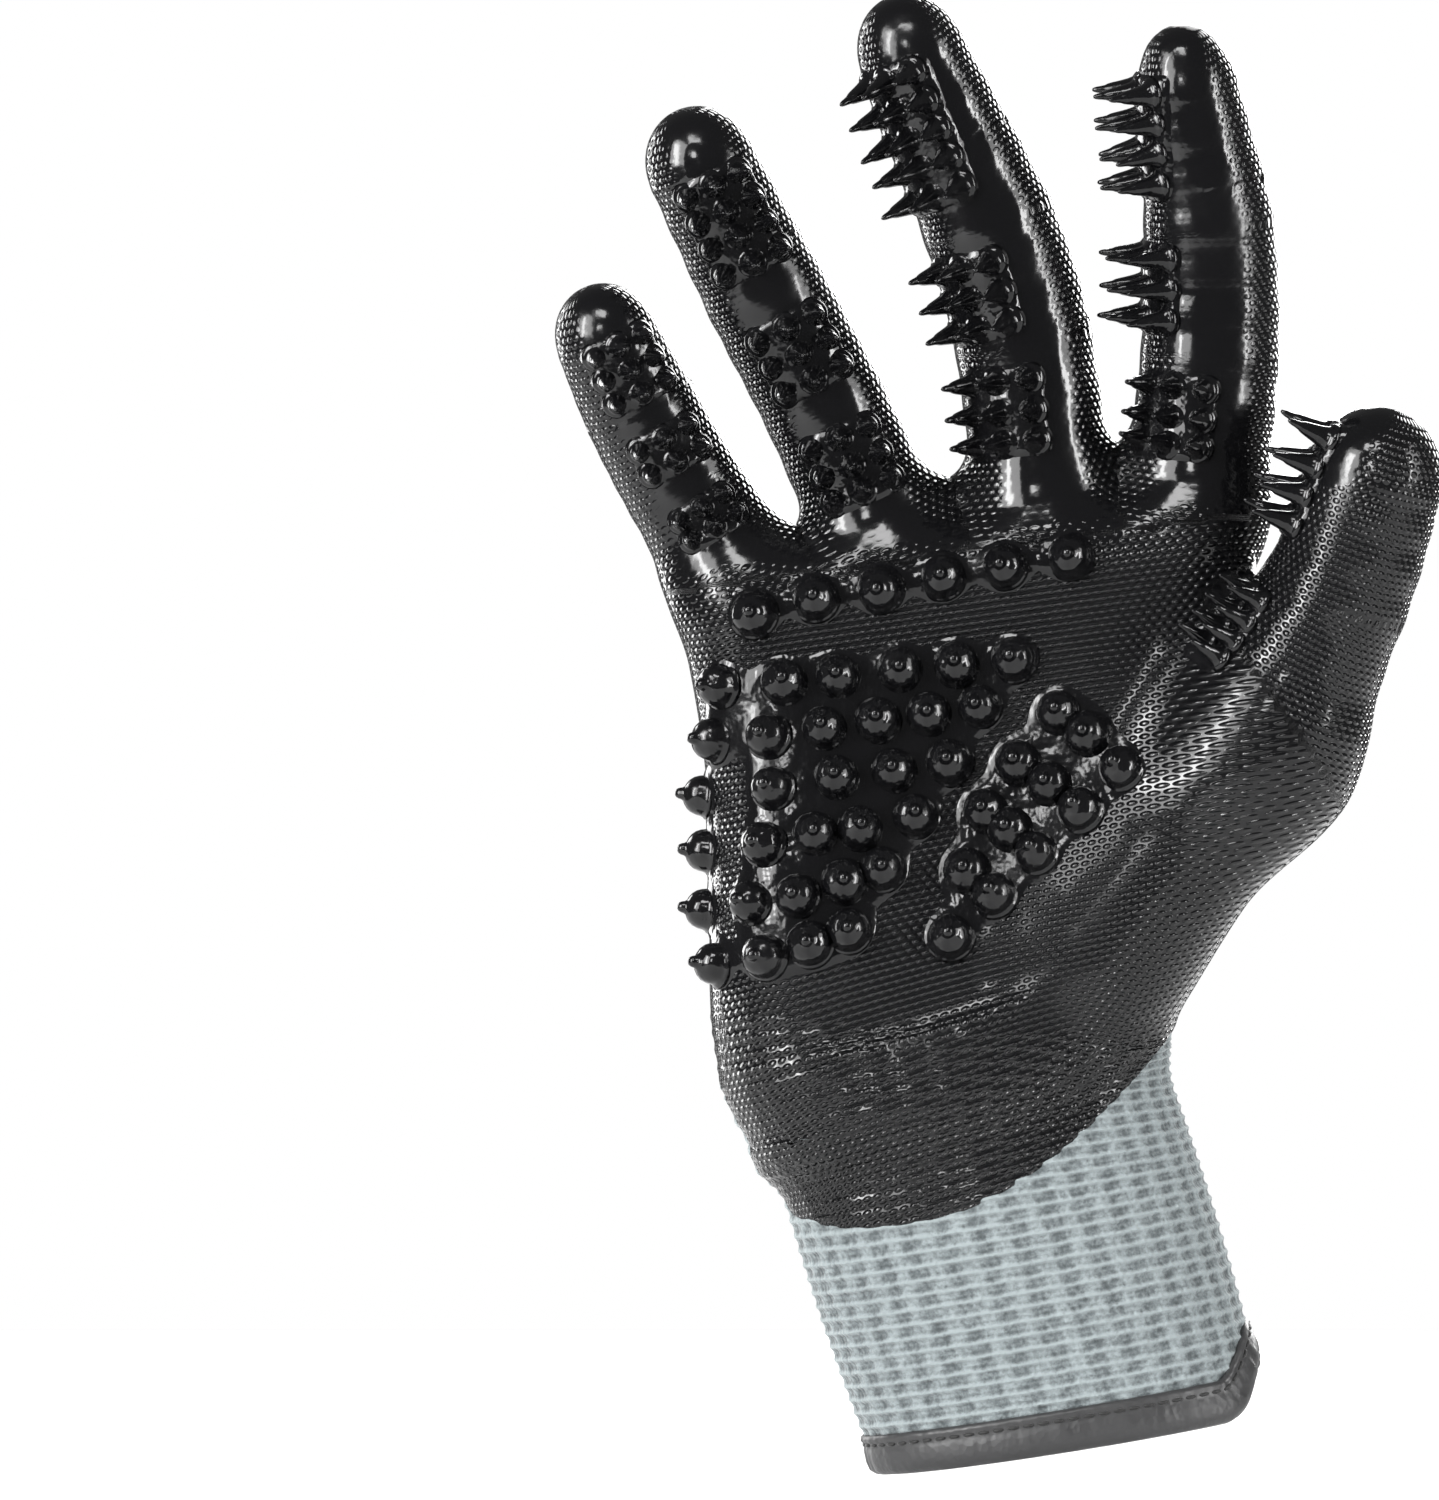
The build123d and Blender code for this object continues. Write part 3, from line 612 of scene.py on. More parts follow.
def coat_depth(points, charts):
    """How far inside the rubber's edge each point lies, negative on the bare knit."""
    x, y, z = points.T
    little_side = smoothstep(-x, 30, 52)
    back_edge = 3.5 + 1.6 * little_side * smoothstep(z, 70, 100)
    back_edge += 0.9 * np.sin(z * 0.21) * little_side - 5.5 * little_side * (1 - smoothstep(z, 62, 82))
    back_edge -= 5.5 * (1 - little_side) * (1 - smoothstep(z, 104, 130))
    hand = back_edge - y
    wrist = z - wrist_coat_edge(x)
    hand = smooth_min(hand, wrist, 4.0)
    result = hand.copy()
    for number, name in enumerate(DIGITS):
        digit = DIGITS[name]
        mine = charts["owner"] == number
        reach = sum(digit.lengths)
        arc = np.abs(charts["angle"]) * charts["radius"]
        if name == "thumb":
            up = (x - 28) * 0.42 + (z - 108) * 0.91
            over = (x - 28) * 0.91 - (z - 108) * 0.42
            own = smooth_max(up - np.where(over < 0, 0.09, 0.03) * over**2, hand, 3.0)
            weight = smoothstep(x, 2.0, 14.0)
        else:
            top = reach - (17.0 if name != "little" else 13.0)
            width = 11.2 - 4.6 * smoothstep(charts["along"], 0.0, top)
            left = top - charts["along"]
            round_top = width * np.sqrt(np.clip(left / 12.0, 0.0, 1.0))
            own = np.where(left > 0, arc - round_top, -left + 0.2)
            weight = smoothstep(charts["level"], -2.0, 7.0)
        blended = hand * (1 - weight) + own * weight
        result[mine] = blended[mine]
    return result


def wrist_coat_edge(x):
    """The height at which the rubber ends on the palm side of the wrist."""
    return 36.5 + 0.0122 * (np.minimum(x, 20.0) + 36.0) ** 2


def knit_coordinates(points, charts, pieces):
    """The knit's own coordinates, in stitches across and along."""
    level = palm_level(points)
    x = points[:, 0] - palm_centre(level)
    y = points[:, 1]
    a, b = palm_half_width(level), palm_half_depth(level)
    corner = b - PALM_FLAT
    flat = a - corner
    over = np.maximum(np.abs(x) - flat, 0.0)
    round_corner = np.arctan2(over, np.maximum(np.abs(y) - PALM_FLAT, 1e-3))
    across = np.minimum(np.abs(x), flat) + corner * round_corner
    hand = np.column_stack([np.sign(x) * across / WALE, level / COURSE])
    result = hand.copy()
    for number, name in enumerate(DIGITS):
        digit = DIGITS[name]
        mine = (charts["owner"] == number) & (pieces > 0)
        wales = wrap_of(digit)
        start = np.array([digit.points[0]])
        start_level = palm_level(start)
        u0 = (start[0, 0] - palm_centre(start_level)[0]) / WALE
        u = u0 + charts["angle"] * wales / (2 * math.pi)
        v = (start_level[0] + charts["along"]) / COURSE
        result[mine] = np.column_stack([u, v])[mine]
    return result


# ---------------------------------------------------------------- mesh helpers


def add_object(mesh, material):
    obj = bpy.data.objects.new(mesh.name, mesh)
    bpy.context.scene.collection.objects.link(obj)
    mesh.materials.append(material)
    return obj


def store_uv(mesh, coordinates, wrap=None):
    """Stores the points' coordinates as the mesh's UVs. Where wrap is set, a face that straddles the
    seam of a closed round gets its far corners moved by a whole turn."""
    layer = mesh.uv_layers.new(name="UVMap")
    corner = np.empty(len(mesh.loops), int)
    mesh.loops.foreach_get("vertex_index", corner)
    uv = coordinates[corner].copy()
    if wrap:
        start = np.empty(len(mesh.polygons), int)
        size = np.empty(len(mesh.polygons), int)
        mesh.polygons.foreach_get("loop_start", start)
        mesh.polygons.foreach_get("loop_total", size)
        first = np.repeat(uv[start, 0], size)
        uv[:, 0] -= np.round((uv[:, 0] - first) / wrap) * wrap
    layer.data.foreach_set("uv", uv.ravel())


def store_value(mesh, name, values):
    layer = mesh.attributes.new(name, "FLOAT", "POINT")
    layer.data.foreach_set("value", np.concatenate([values] * 2).astype(np.float32))


def digit_pieces():
    """Each digit's pieces: its number, its name, the digit and the phalanx."""
    for number, digit in enumerate(DIGITS.values()):
        for k, segment in enumerate(digit.segments):
            yield 10 * number + k + 10, f"{digit.name}_{segment}", digit, k


def bend(obj, digit, k):
    """Bakes the placement of a digit's piece into its mesh."""
    if k > 0:
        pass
    elif digit.name == "thumb":
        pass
    else:
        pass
    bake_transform(obj)


def wrap_of(digit):
    """How many stitches go round a digit: an even number, so that they meet those of the palm."""
    return 2 * round(math.pi * digit.radii[0] / WALE)


def add_skin_pieces(surface, pieces, kind, inner, material):
    """Cuts a raised surface into the hand's piece and the digits' pieces."""
    numbers = pieces[surface.triangles].max(1)
    made = []
    for number, name, digit, k in [(0, "hand", None, 0), *digit_pieces()]:
        chosen = numbers == number
        if not chosen.any():
            continue
        part = surface.part(chosen)
        mesh = part.shell_mesh(f"{kind}_{name}", inner)
        uv = np.concatenate([part.values["uv"]] * 2)
        store_uv(mesh, uv, wrap_of(digit) if digit else None)
        if "smooth" in part.values:
            store_value(mesh, "smooth_rubber", part.values["smooth"])
        obj = add_object(mesh, material)
        made.append((obj, name))
        if digit:
            bend(obj, digit, k)
        else:
            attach(obj, "hand")
    return made


# ---------------------------------------------------------------- materials


class Nodes:
    """Short names for building a material's nodes."""

    def __init__(self, name, color, roughness, **sockets):
        self.material = bpy.data.materials.new(name)
        self.material.use_nodes = True
        self.tree = self.material.node_tree
        self.shader = self.tree.nodes["Principled BSDF"]
        self.set("Base Color", (*color, 1.0))
        self.set("Roughness", roughness)
        for socket, value in sockets.items():
            self.set(socket.replace("_", " "), value)

    def set(self, socket, value):
        self.shader.inputs[socket].default_value = value

    def link(self, out, into):
        self.tree.links.new(out, into)

    def node(self, kind, **settings):
        made = self.tree.nodes.new(kind)
        for key, value in settings.items():
            setattr(made, key, value)
        return made

    def feed(self, socket, value):
        if hasattr(value, "is_output"):
            self.link(value, socket)
        else:
            socket.default_value = value

    def math(self, operation, a, b=0.0, c=0.0):
        made = self.node("ShaderNodeMath", operation=operation)
        for socket, value in zip(made.inputs, (a, b, c)):
            self.feed(socket, value)
        return made.outputs[0]

    def add(self, a, b):
        return self.math("ADD", a, b)

    def subtract(self, a, b):
        return self.math("SUBTRACT", a, b)

    def times(self, a, b):
        return self.math("MULTIPLY", a, b)

    def ramp(self, value, low, high, to_low=0.0, to_high=1.0):
        made = self.node("ShaderNodeMapRange", interpolation_type="SMOOTHSTEP")
        sockets = ("Value", "From Min", "From Max", "To Min", "To Max")
        for socket, amount in zip(sockets, (value, low, high, to_low, to_high)):
            self.feed(made.inputs[socket], amount)
        return made.outputs[0]

    def mix(self, factor, a, b):
        made = self.node("ShaderNodeMix", data_type="RGBA")
        self.feed(made.inputs[0], factor)
        self.feed(made.inputs[6], a if hasattr(a, "is_output") else (*a, 1.0))
        self.feed(made.inputs[7], b if hasattr(b, "is_output") else (*b, 1.0))
        return made.outputs[2]

    def noise(self, scale, detail=2.0, vector=None, roughness=0.5):
        made = self.node("ShaderNodeTexNoise")
        made.inputs["Scale"].default_value = scale
        made.inputs["Detail"].default_value = detail
        made.inputs["Roughness"].default_value = roughness
        self.link(vector or self.places(), made.inputs["Vector"])
        return made.outputs["Fac"]

    def places(self):
        if not hasattr(self, "_places"):
            self._places = self.node("ShaderNodeTexCoord").outputs["Object"]
        return self._places

    def uv(self):
        if not hasattr(self, "_uv"):
            split = self.node("ShaderNodeSeparateXYZ")
            self.link(self.node("ShaderNodeUVMap", uv_map="UVMap").outputs[0], split.inputs[0])
            self._uv = split.outputs[0], split.outputs[1]
        return self._uv

    def cells(self, scale):
        """Distance from the nearest of many scattered points."""
        made = self.node("ShaderNodeTexVoronoi")
        made.inputs["Scale"].default_value = scale
        self.link(self.places(), made.inputs["Vector"])
        return made.outputs["Distance"]

    def attribute(self, name):
        return self.node("ShaderNodeAttribute", attribute_name=name).outputs["Fac"]

    def bump(self, height, distance, strength=1.0, onto=None):
        made = self.node("ShaderNodeBump")
        made.inputs["Strength"].default_value = strength
        made.inputs["Distance"].default_value = distance * MM
        self.link(height, made.inputs["Height"])
        if onto is not None:
            self.link(onto, made.inputs["Normal"])
        return made.outputs[0]

    def wear(self, normal):
        self.link(normal, self.shader.inputs["Normal"])
        return self.material


def stitch_height(n):
    """The height of plain knit at the UV: each stitch is a V whose two legs lean together."""
    u, v = n.uv()
    from_middle = n.times(n.math("ABSOLUTE", n.subtract(n.math("FRACT", u), 0.5)), 2.0)
    leg = n.subtract(1.0, n.math("ABSOLUTE", n.subtract(n.times(from_middle, 2.0), 1.0)))
    leg = n.math("POWER", n.math("MAXIMUM", leg, 0.0), 0.55)
    phase = n.times(n.subtract(v, n.times(from_middle, 0.62)), 2 * math.pi)
    yarn = n.add(n.times(n.math("COSINE", phase), 0.5), 0.5)
    return n.times(leg, n.math("POWER", yarn, 0.6))


def knit_material():
    n = Nodes("grey_knit", (0.13, 0.153, 0.156), 0.85, Sheen_Weight=0.25, Sheen_Roughness=0.5)
    height = stitch_height(n)
    fibre = n.noise(2600.0, 3.0)
    tone = n.noise(38.0, 3.0)
    # The colour runs from near black in the hollows between the stitches to light grey on their tops:
    # painted shade in the hollows.
    thread = n.mix(n.ramp(height, 0.05, 0.75), (0.032, 0.039, 0.041), (0.215, 0.25, 0.257))
    shade = n.mix(n.times(n.ramp(tone, 0.35, 0.7), 0.35), thread, (0.13, 0.153, 0.156))
    n.link(shade, n.shader.inputs["Base Color"])
    return n.wear(n.bump(fibre, 0.07, 0.6, n.bump(height, 0.45)))


def rib_material():
    """Ribbed knit: the cords and pits are in the mesh, and this adds the yarn's own loops and fuzz, with
    painted shade in the pits.
    """
    n = Nodes("grey_rib_knit", (0.2, 0.235, 0.24), 0.85, Sheen_Weight=0.2, Sheen_Roughness=0.5)
    u, v = n.uv()
    loop = n.math("SINE", n.times(n.add(n.times(u, 4.0), n.times(v, 0.5)), 2 * math.pi))
    row = n.math("COSINE", n.times(v, 4 * math.pi))
    bead = n.add(n.times(loop, 0.3), n.times(row, 0.5))
    tufts = n.noise(700.0, 3.0, roughness=0.6)
    fibre = n.noise(2200.0, 3.0, roughness=0.65)
    level = n.add(n.times(n.attribute("relief"), 0.62), n.times(bead, 0.1))
    level = n.add(level, n.times(n.subtract(tufts, 0.5), 0.8))
    level = n.add(level, n.times(n.subtract(fibre, 0.5), 0.5))
    # Dark where the relief and the loops are low and light on the cords: painted shade in the pits and
    # hollows, with a random mottle from the tufts and fuzz.
    shade = n.mix(n.ramp(level, -0.12, 0.56), (0.06, 0.072, 0.076), (0.28, 0.32, 0.328))
    n.link(shade, n.shader.inputs["Base Color"])
    return n.wear(n.bump(fibre, 0.16, 0.8, n.bump(tufts, 0.5, 0.9, n.bump(bead, 0.2, 0.9))))


def rubber_material(name, knit_depth):
    """Glossy black rubber. knit_depth is how deeply the knit beneath shows through it."""
    n = Nodes(name, (0.0035, 0.0035, 0.004), 0.15, IOR=1.46)
    patches = n.noise(55.0, 3.0)
    fine = n.noise(420.0, 2.0)
    gloss = n.add(n.ramp(patches, 0.35, 0.75, 0.07, 0.18), n.times(fine, 0.05))
    n.link(gloss, n.shader.inputs["Roughness"])
    swell = n.bump(n.noise(95.0, 2.0), 0.35, 0.5)
    if not knit_depth:
        wrinkles = n.bump(n.noise(320.0, 2.0), 0.4, 0.8, swell)
        return n.wear(n.bump(fine, 0.05, 0.35, wrinkles))
    u, v = n.uv()
    shifted = n.add(u, n.times(n.math("FLOOR", v), 0.5))
    cell_u = n.subtract(n.math("FRACT", shifted), 0.5)
    cell_v = n.subtract(n.math("FRACT", v), 0.5)
    away = n.add(n.times(n.times(cell_u, cell_u), 4.0), n.times(n.times(cell_v, cell_v), 4.0))
    dot = n.ramp(away, 0.0, 0.85, 1.0, 0.0)
    height = n.times(dot, n.subtract(1.0, n.attribute("smooth_rubber")))
    return n.wear(n.bump(height, knit_depth, 0.9, swell))


def leather_material():
    n = Nodes("black_tape", (0.034, 0.034, 0.035), 0.45)
    grain = n.cells(900.0)
    creases = n.noise(260.0, 3.0)
    n.link(n.ramp(creases, 0.3, 0.75, 0.34, 0.55), n.shader.inputs["Roughness"])
    return n.wear(n.bump(creases, 0.25, 0.5, n.bump(grain, 0.12, 0.6)))


def strap_material():
    n = Nodes("black_strap", (0.017, 0.017, 0.018), 0.5)
    grain = n.cells(1500.0)
    scuff = n.noise(120.0, 4.0)
    n.link(n.ramp(scuff, 0.3, 0.8, 0.42, 0.6), n.shader.inputs["Roughness"])
    return n.wear(n.bump(scuff, 0.08, 0.4, n.bump(grain, 0.06, 0.6)))


def pile_material(name, scale, depth):
    """Hook tape or loop tape."""
    n = Nodes(name, (0.014, 0.014, 0.015), 0.8, Sheen_Weight=0.3)
    pile = n.cells(scale)
    shade = n.mix(n.ramp(pile, 0.0, 0.6), (0.03, 0.03, 0.032), (0.006, 0.006, 0.006))
    n.link(shade, n.shader.inputs["Base Color"])
    return n.wear(n.bump(pile, depth, 0.8))


def thread_material():
    n = Nodes("black_thread", (0.006, 0.006, 0.006), 0.6, Sheen_Weight=0.2)
    return n.wear(n.bump(n.noise(3000.0, 1.0), 0.06, 0.6))


def mark_material():
    n = Nodes("grey_mark", (0.30, 0.335, 0.34), 0.48)
    scuff = n.noise(300.0, 3.0)
    shade = n.mix(n.ramp(scuff, 0.3, 0.75), (0.26, 0.295, 0.30), (0.33, 0.37, 0.375))
    n.link(shade, n.shader.inputs["Base Color"])
    return n.wear(n.bump(scuff, 0.05, 0.4))


# ---------------------------------------------------------------- nubs

# Profiles above the skirt: share of the base radius, share of the height
SPIKE = ((0.92, 0.07), (0.80, 0.17), (0.69, 0.30), (0.60, 0.43), (0.52, 0.55), (0.45, 0.63), (0.34, 0.70),
         (0.28, 0.79), (0.24, 0.88), (0.18, 0.95), (0.10, 0.99))
DOME = ((0.98, 0.12), (0.94, 0.28), (0.85, 0.44), (0.70, 0.57), (0.52, 0.66), (0.36, 0.71), (0.29, 0.78),
        (0.26, 0.87), (0.20, 0.95), (0.11, 0.99))


def ring_points(centre, side, other, radius, turns):
    """Points on a circle in the plane of two directions."""
    angles = [2 * math.pi * i / turns for i in range(turns)]
    return [centre + (side * math.cos(a) + other * math.sin(a)) * radius for a in angles]


def add_nub(points, faces, base, axis, radius, height, profile, flare, turns):
    """Adds one turned nub to lists of points and faces: a profile of (share of radius, share of height),
    with a skirt that flares out into the skin."""
    axis = unit(axis)
    side = unit(np.cross(axis, (0.31, 0.52, 0.8)))
    other = np.cross(axis, side)
    start = len(points)
    rings = [(1.0 + flare, -0.10), (1.0 + 0.55 * flare, 0.0), (1.0 + 0.2 * flare, 0.03), *profile]
    for share, up in rings:
        points += ring_points(base + axis * up * height, side, other, share * radius, turns)
    for ring in range(len(rings) - 1):
        for i in range(turns):
            a, b = start + ring * turns + i, start + ring * turns + (i + 1) % turns
            faces.append((a, b, b + turns, a + turns))
    tip = len(points)
    points.append(base + axis * height)
    last = start + (len(rings) - 1) * turns
    faces += [(last + i, last + (i + 1) % turns, tip) for i in range(turns)]
    faces.append(tuple(start + i for i in reversed(range(turns))))


def nub_mesh(name, nubs, profile, flare, turns):
    """One mesh of many nubs, each (foot, axis, base radius, height)."""
    points, faces = [], []
    for foot, axis, radius, height in nubs:
        add_nub(points, faces, foot, axis, radius, height, profile, flare, turns)
    return smooth_mesh(name, points, faces)


def join_meshes(name, meshes):
    """One mesh of several, and the several removed."""
    objects = [bpy.data.objects.new(f"{name}_{i}", mesh) for i, mesh in enumerate(meshes)]
    for obj in objects:
        bpy.context.scene.collection.objects.link(obj)
    with bpy.context.temp_override(active_object=objects[0], selected_editable_objects=objects):
        bpy.ops.object.join()
    mesh = objects[0].data
    mesh.name = name
    bpy.data.objects.remove(objects[0])
    return mesh


def grid_surface(points, normals, closed, **values):
    """A surface from a grid of points [row, column]. closed joins the last column to the first."""
    rows, columns = points.shape[:2]
    index = np.arange(rows * columns).reshape(rows, columns)
    right = np.roll(index, -1, 1) if closed else index[:, 1:]
    left = index if closed else index[:, :-1]
    a, b, c, d = left[:-1], right[:-1], right[1:], left[1:]
    triangles = np.concatenate([np.stack(t, -1).reshape(-1, 3) for t in ((a, b, c), (a, c, d))])
    values = {name: value.reshape(rows * columns, -1).squeeze() for name, value in values.items()}
    return Surface(points.reshape(-1, 3), normals.reshape(-1, 3), triangles, **values)


def sweep_mesh(name, path, aside, out, profile, swell):
    """A closed mesh of a profile of (aside, out) pairs run along a path. swell[i] scales how far out each
    of the profile's points stands there."""
    n, m = len(path), len(profile)
    shape = np.array(profile)
    sideways = aside[:, None] * shape[None, :, :1]
    outward = out[:, None] * (shape[None, :, 1:] * swell[:, :, None])
    points = (path[:, None] + sideways + outward).reshape(-1, 3)
    faces = []
    for i in range(n - 1):
        for k in range(m):
            after = (k + 1) % m
            faces.append((i * m + k, i * m + after, (i + 1) * m + after, (i + 1) * m + k))
    faces += [tuple(range(m))[::-1], tuple((n - 1) * m + k for k in range(m))]
    return turned_outward(smooth_mesh(name, points, faces))


def turned_outward(mesh):
    """The mesh with its faces turned to look outward."""
    if signed_volume(mesh) < 0:
        mesh.flip_normals()
    return mesh


def signed_volume(mesh):
    points = np.empty(len(mesh.vertices) * 3)
    mesh.vertices.foreach_get("co", points)
    points = points.reshape(-1, 3)
    mesh.calc_loop_triangles()
    index = np.empty(len(mesh.loop_triangles) * 3, int)
    mesh.loop_triangles.foreach_get("vertices", index)
    a, b, c = points[index.reshape(-1, 3)].transpose(1, 0, 2)
    return np.einsum("ij,ij->i", a, np.cross(b, c)).sum() / 6


def stitch_mesh(name, places, along, out, length, width):
    """One mesh of short raised stitches, each a long rounded bead half sunk in the cloth."""
    points, faces = [], []
    turns, rings = 8, 6
    for place, direction, normal in zip(places, along, out):
        direction, normal = unit(direction), unit(normal)
        side = np.cross(normal, direction)
        start = len(points)
        points.append(place - direction * length / 2 - normal * width * 0.2)
        for r in range(1, rings):
            t = -math.cos(math.pi * r / rings)
            size = width / 2 * (1 - t**4) ** 0.5
            rise = width * (0.22 * (1 - t * t) - 0.12)
            middle = place + direction * t * length / 2 + normal * rise
            points += ring_points(middle, side, normal, size, turns)
        points.append(place + direction * length / 2 - normal * width * 0.2)
        first, last = start + 1, len(points) - 1
        for i in range(turns):
            j = (i + 1) % turns
            faces.append((start, first + j, first + i))
            for r in range(rings - 2):
                a, b = first + r * turns + i, first + r * turns + j
                faces.append((a, b, b + turns, a + turns))
            faces.append((last - turns + i, last - turns + j, last))
    return turned_outward(smooth_mesh(name, points, faces))


def place(obj, node):
    """Fixes an object that shows one of the hand's nodes."""
    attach(obj, "hand")
    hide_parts(node)


# ---------------------------------------------------------------- the skins: knit and rubber

KNIT = knit_material()
RIB = rib_material()
COATING = rubber_material("black_rubber_on_knit", 0.42)
RUBBER = rubber_material("black_rubber", 0.0)
TAPE = leather_material()
THREAD = thread_material()

skin = skin_surface()
skin = skin.clip(over_rib_top(skin.points))
charts = digit_charts(skin.points)
pieces = piece_numbers(skin.points, charts)
skin.values["uv"] = knit_coordinates(skin.points, charts, pieces)
liner_pieces = add_skin_pieces(skin, pieces, "knit", LINER_WALL, KNIT)


def smooth_share(points, charts):
    """How smooth the rubber is: 1 where it is thick enough to hide the knit."""
    facing = np.abs(np.pi - np.abs(charts["angle"]))
    finger = 1 - smoothstep(facing, 0.5, 1.15)
    finger = np.maximum(finger, smoothstep(charts["along"], 84, 96) * 0.5)
    hand = 0.75 * smoothstep(points[:, 2] - 0.16 * (points[:, 0] + 28), 138, 150)
    return np.clip(np.where(charts["level"] > 0, finger, hand * (points[:, 1] < 0)), 0, 0.985)


rubber = skin.clip(coat_depth(skin.points, charts))
charts = digit_charts(rubber.points)
pieces = piece_numbers(rubber.points, charts)
rubber.values["uv"] = knit_coordinates(rubber.points, charts, pieces)
rubber.values["smooth"] = smooth_share(rubber.points, charts)
lip = smoothstep(rubber.values["depth"], -0.15, 0.9)
raised_rubber = rubber.raised(COAT_LIFT + COAT_THICK * lip)
coating_pieces = add_skin_pieces(raised_rubber, pieces, "rubber", COAT_WALL, COATING)

for obj, name in liner_pieces:
    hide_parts(f"{name}_liner")
for obj, name in coating_pieces:
    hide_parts("palm_coating" if name == "hand" else f"{name}_coating")

# ---------------------------------------------------------------- the nub pads of the digits


def finger_pad_frame(digit, k):
    """Where pad k of a digit lies: how far along its phalanx, and the angle it faces, from the back."""
    centre, facing = PADS[digit.name][k][:2]
    facing = math.radians(facing)
    towards = np.array([-math.sin(facing), -math.cos(facing), 0.0])
    dorsal = -digit.palmars[k]
    side = np.cross(dorsal, digit.bones[k])
    return centre, math.atan2(towards @ side, towards @ dorsal)


def phalanx_point(digit, k, along, angle):
    """A point on the side of phalanx k, and the direction out of it there."""
    dorsal = -digit.palmars[k]
    side = np.cross(dorsal, digit.bones[k])
    out = dorsal * math.cos(angle) + side * math.sin(angle)
    return digit.points[k] + digit.bones[k] * along + out * digit.radii[k], out


def add_finger_pad(surface, charts, digit, k):
    _, _, rows, columns, pitch, height, radius = PADS[digit.name][k]
    centre, facing = finger_pad_frame(digit, k)
    names = list(DIGITS)
    turn = np.mod(charts["angle"] - facing + np.pi, 2 * np.pi) - np.pi
    arc = turn * charts["radius"]
    along = charts["along"] - sum(digit.lengths[:k]) - centre
    half_long, half_wide = ((count - 1) * pitch / 2 + radius + PLATE_MARGIN for count in (rows, columns))
    qx, qy = np.abs(arc) - half_wide + PLATE_CORNER, np.abs(along) - half_long + PLATE_CORNER
    outside = np.hypot(np.maximum(qx, 0), np.maximum(qy, 0)) + np.minimum(np.maximum(qx, qy), 0)
    level = np.where(charts["owner"] == names.index(digit.name), PLATE_CORNER - outside, -5.0)
    plate = surface.clip(level)
    depth = plate.values["depth"]
    raised = COAT_THICK - 0.35 + (PLATE_THICK - COAT_THICK + 0.1) * smoothstep(depth, -0.2, 1.4)
    plate_mesh = plate.raised(raised).shell_mesh(f"{digit.name}_{k}_plate", -0.1)
    seats = []
    middle = phalanx_point(digit, k, centre, facing)[1]
    for i in range(rows):
        for j in range(columns):
            up = (i - (rows - 1) / 2) * pitch
            across = (j - (columns - 1) / 2) * pitch
            foot, out = phalanx_point(digit, k, centre + up, facing + across / digit.radii[k])
            foot, normal = onto_skin(foot[None], 1.0)
            axis = unit(normal[0] * 0.55 + middle * 0.45 + rng.normal(0, 0.02, 3))
            seats.append((foot[0], axis, radius, height * rng.uniform(0.96, 1.03)))
    spikes = nub_mesh(f"{digit.name}_{k}_spikes", seats, SPIKE, 0.42, turns=20)
    segment = digit.segments[k]
    obj = add_object(join_meshes(f"nubs_{digit.name}_{segment}", [plate_mesh, spikes]), RUBBER)
    bend(obj, digit, k)
    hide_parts(f"{digit.name}_{segment}_nub_pad")


skin_charts = digit_charts(skin.points)
for digit in DIGITS.values():
    for k in range(len(digit.segments)):
        add_finger_pad(skin, skin_charts, digit, k)

# ---------------------------------------------------------------- the pads of the palm


def row_spots(rows):
    spots = []
    for (x0, z0), (x1, z1), count in rows:
        spots += [(x0 + (x1 - x0) * t, z0 + (z1 - z0) * t) for t in np.linspace(0, 1, count)]
    return spots


def add_palm_pad(surface, name, rows):
    spots = np.array([(x, -26.0, z) for x, z in row_spots(rows)])
    spots[:, 0] += rng.normal(0, 0.35, len(spots))
    spots[:, 2] += rng.normal(0, 0.35, len(spots))
    feet, normals = onto_palm(spots)
    distance = np.linalg.norm(surface.points[:, None] - feet[None], axis=2)
    level = np.log(np.exp(0.45 * (4.8 - distance)).sum(1)) / 0.45
    level = np.where(surface.points[:, 1] < 4, level, -5.0)
    plate = surface.clip(level)
    depth = plate.values["depth"]
    rim = 0.18 * np.exp(-(((depth - 1.3) / 0.9) ** 2))
    raised = 0.35 + 0.75 * smoothstep(depth, -0.3, 2.2) + rim
    plate_mesh = plate.raised(raised).shell_mesh(f"{name}_plate", -0.1)
    seats = []
    for foot, normal in zip(feet, normals):
        axis = unit(normal + PALM_NUB_LEAN + rng.normal(0, 0.03, 3))
        radius = PALM_NUB_BASE * rng.uniform(0.95, 1.04)
        seats.append((foot + normal * PALM_PLATE_RISE, axis, radius, PALM_NUB_HEIGHT))
    domes = nub_mesh(f"{name}_domes", seats, DOME, 0.18, turns=28)
    obj = add_object(join_meshes(name.replace("pad_", "pad_of_"), [plate_mesh, domes]), RUBBER)
    place(obj, name)


def onto_palm(points):
    """Points carried straight back onto the palm side of the skin, with the normals there."""
    far = glove_distance(points)
    for _ in range(60):
        points = points + np.column_stack([0 * far, 0.8 * np.clip(far, -4, 4), 0 * far])
        points[:, 1] = np.minimum(points[:, 1], -3.0)
        far = glove_distance(points)
    return onto_skin(points)


for name, rows in PALM_ROWS.items():
    add_palm_pad(skin, name, rows)

# ---------------------------------------------------------------- the cuff of ribbed knit

RIB_ROWS = 37
RIB_COLUMNS = 35
RIB_GRID = (230, 245)
RIB_RISE = 0.7
# How far the grid of the rib runs on above its end, where it is clipped
RIB_SPARE = 12.0
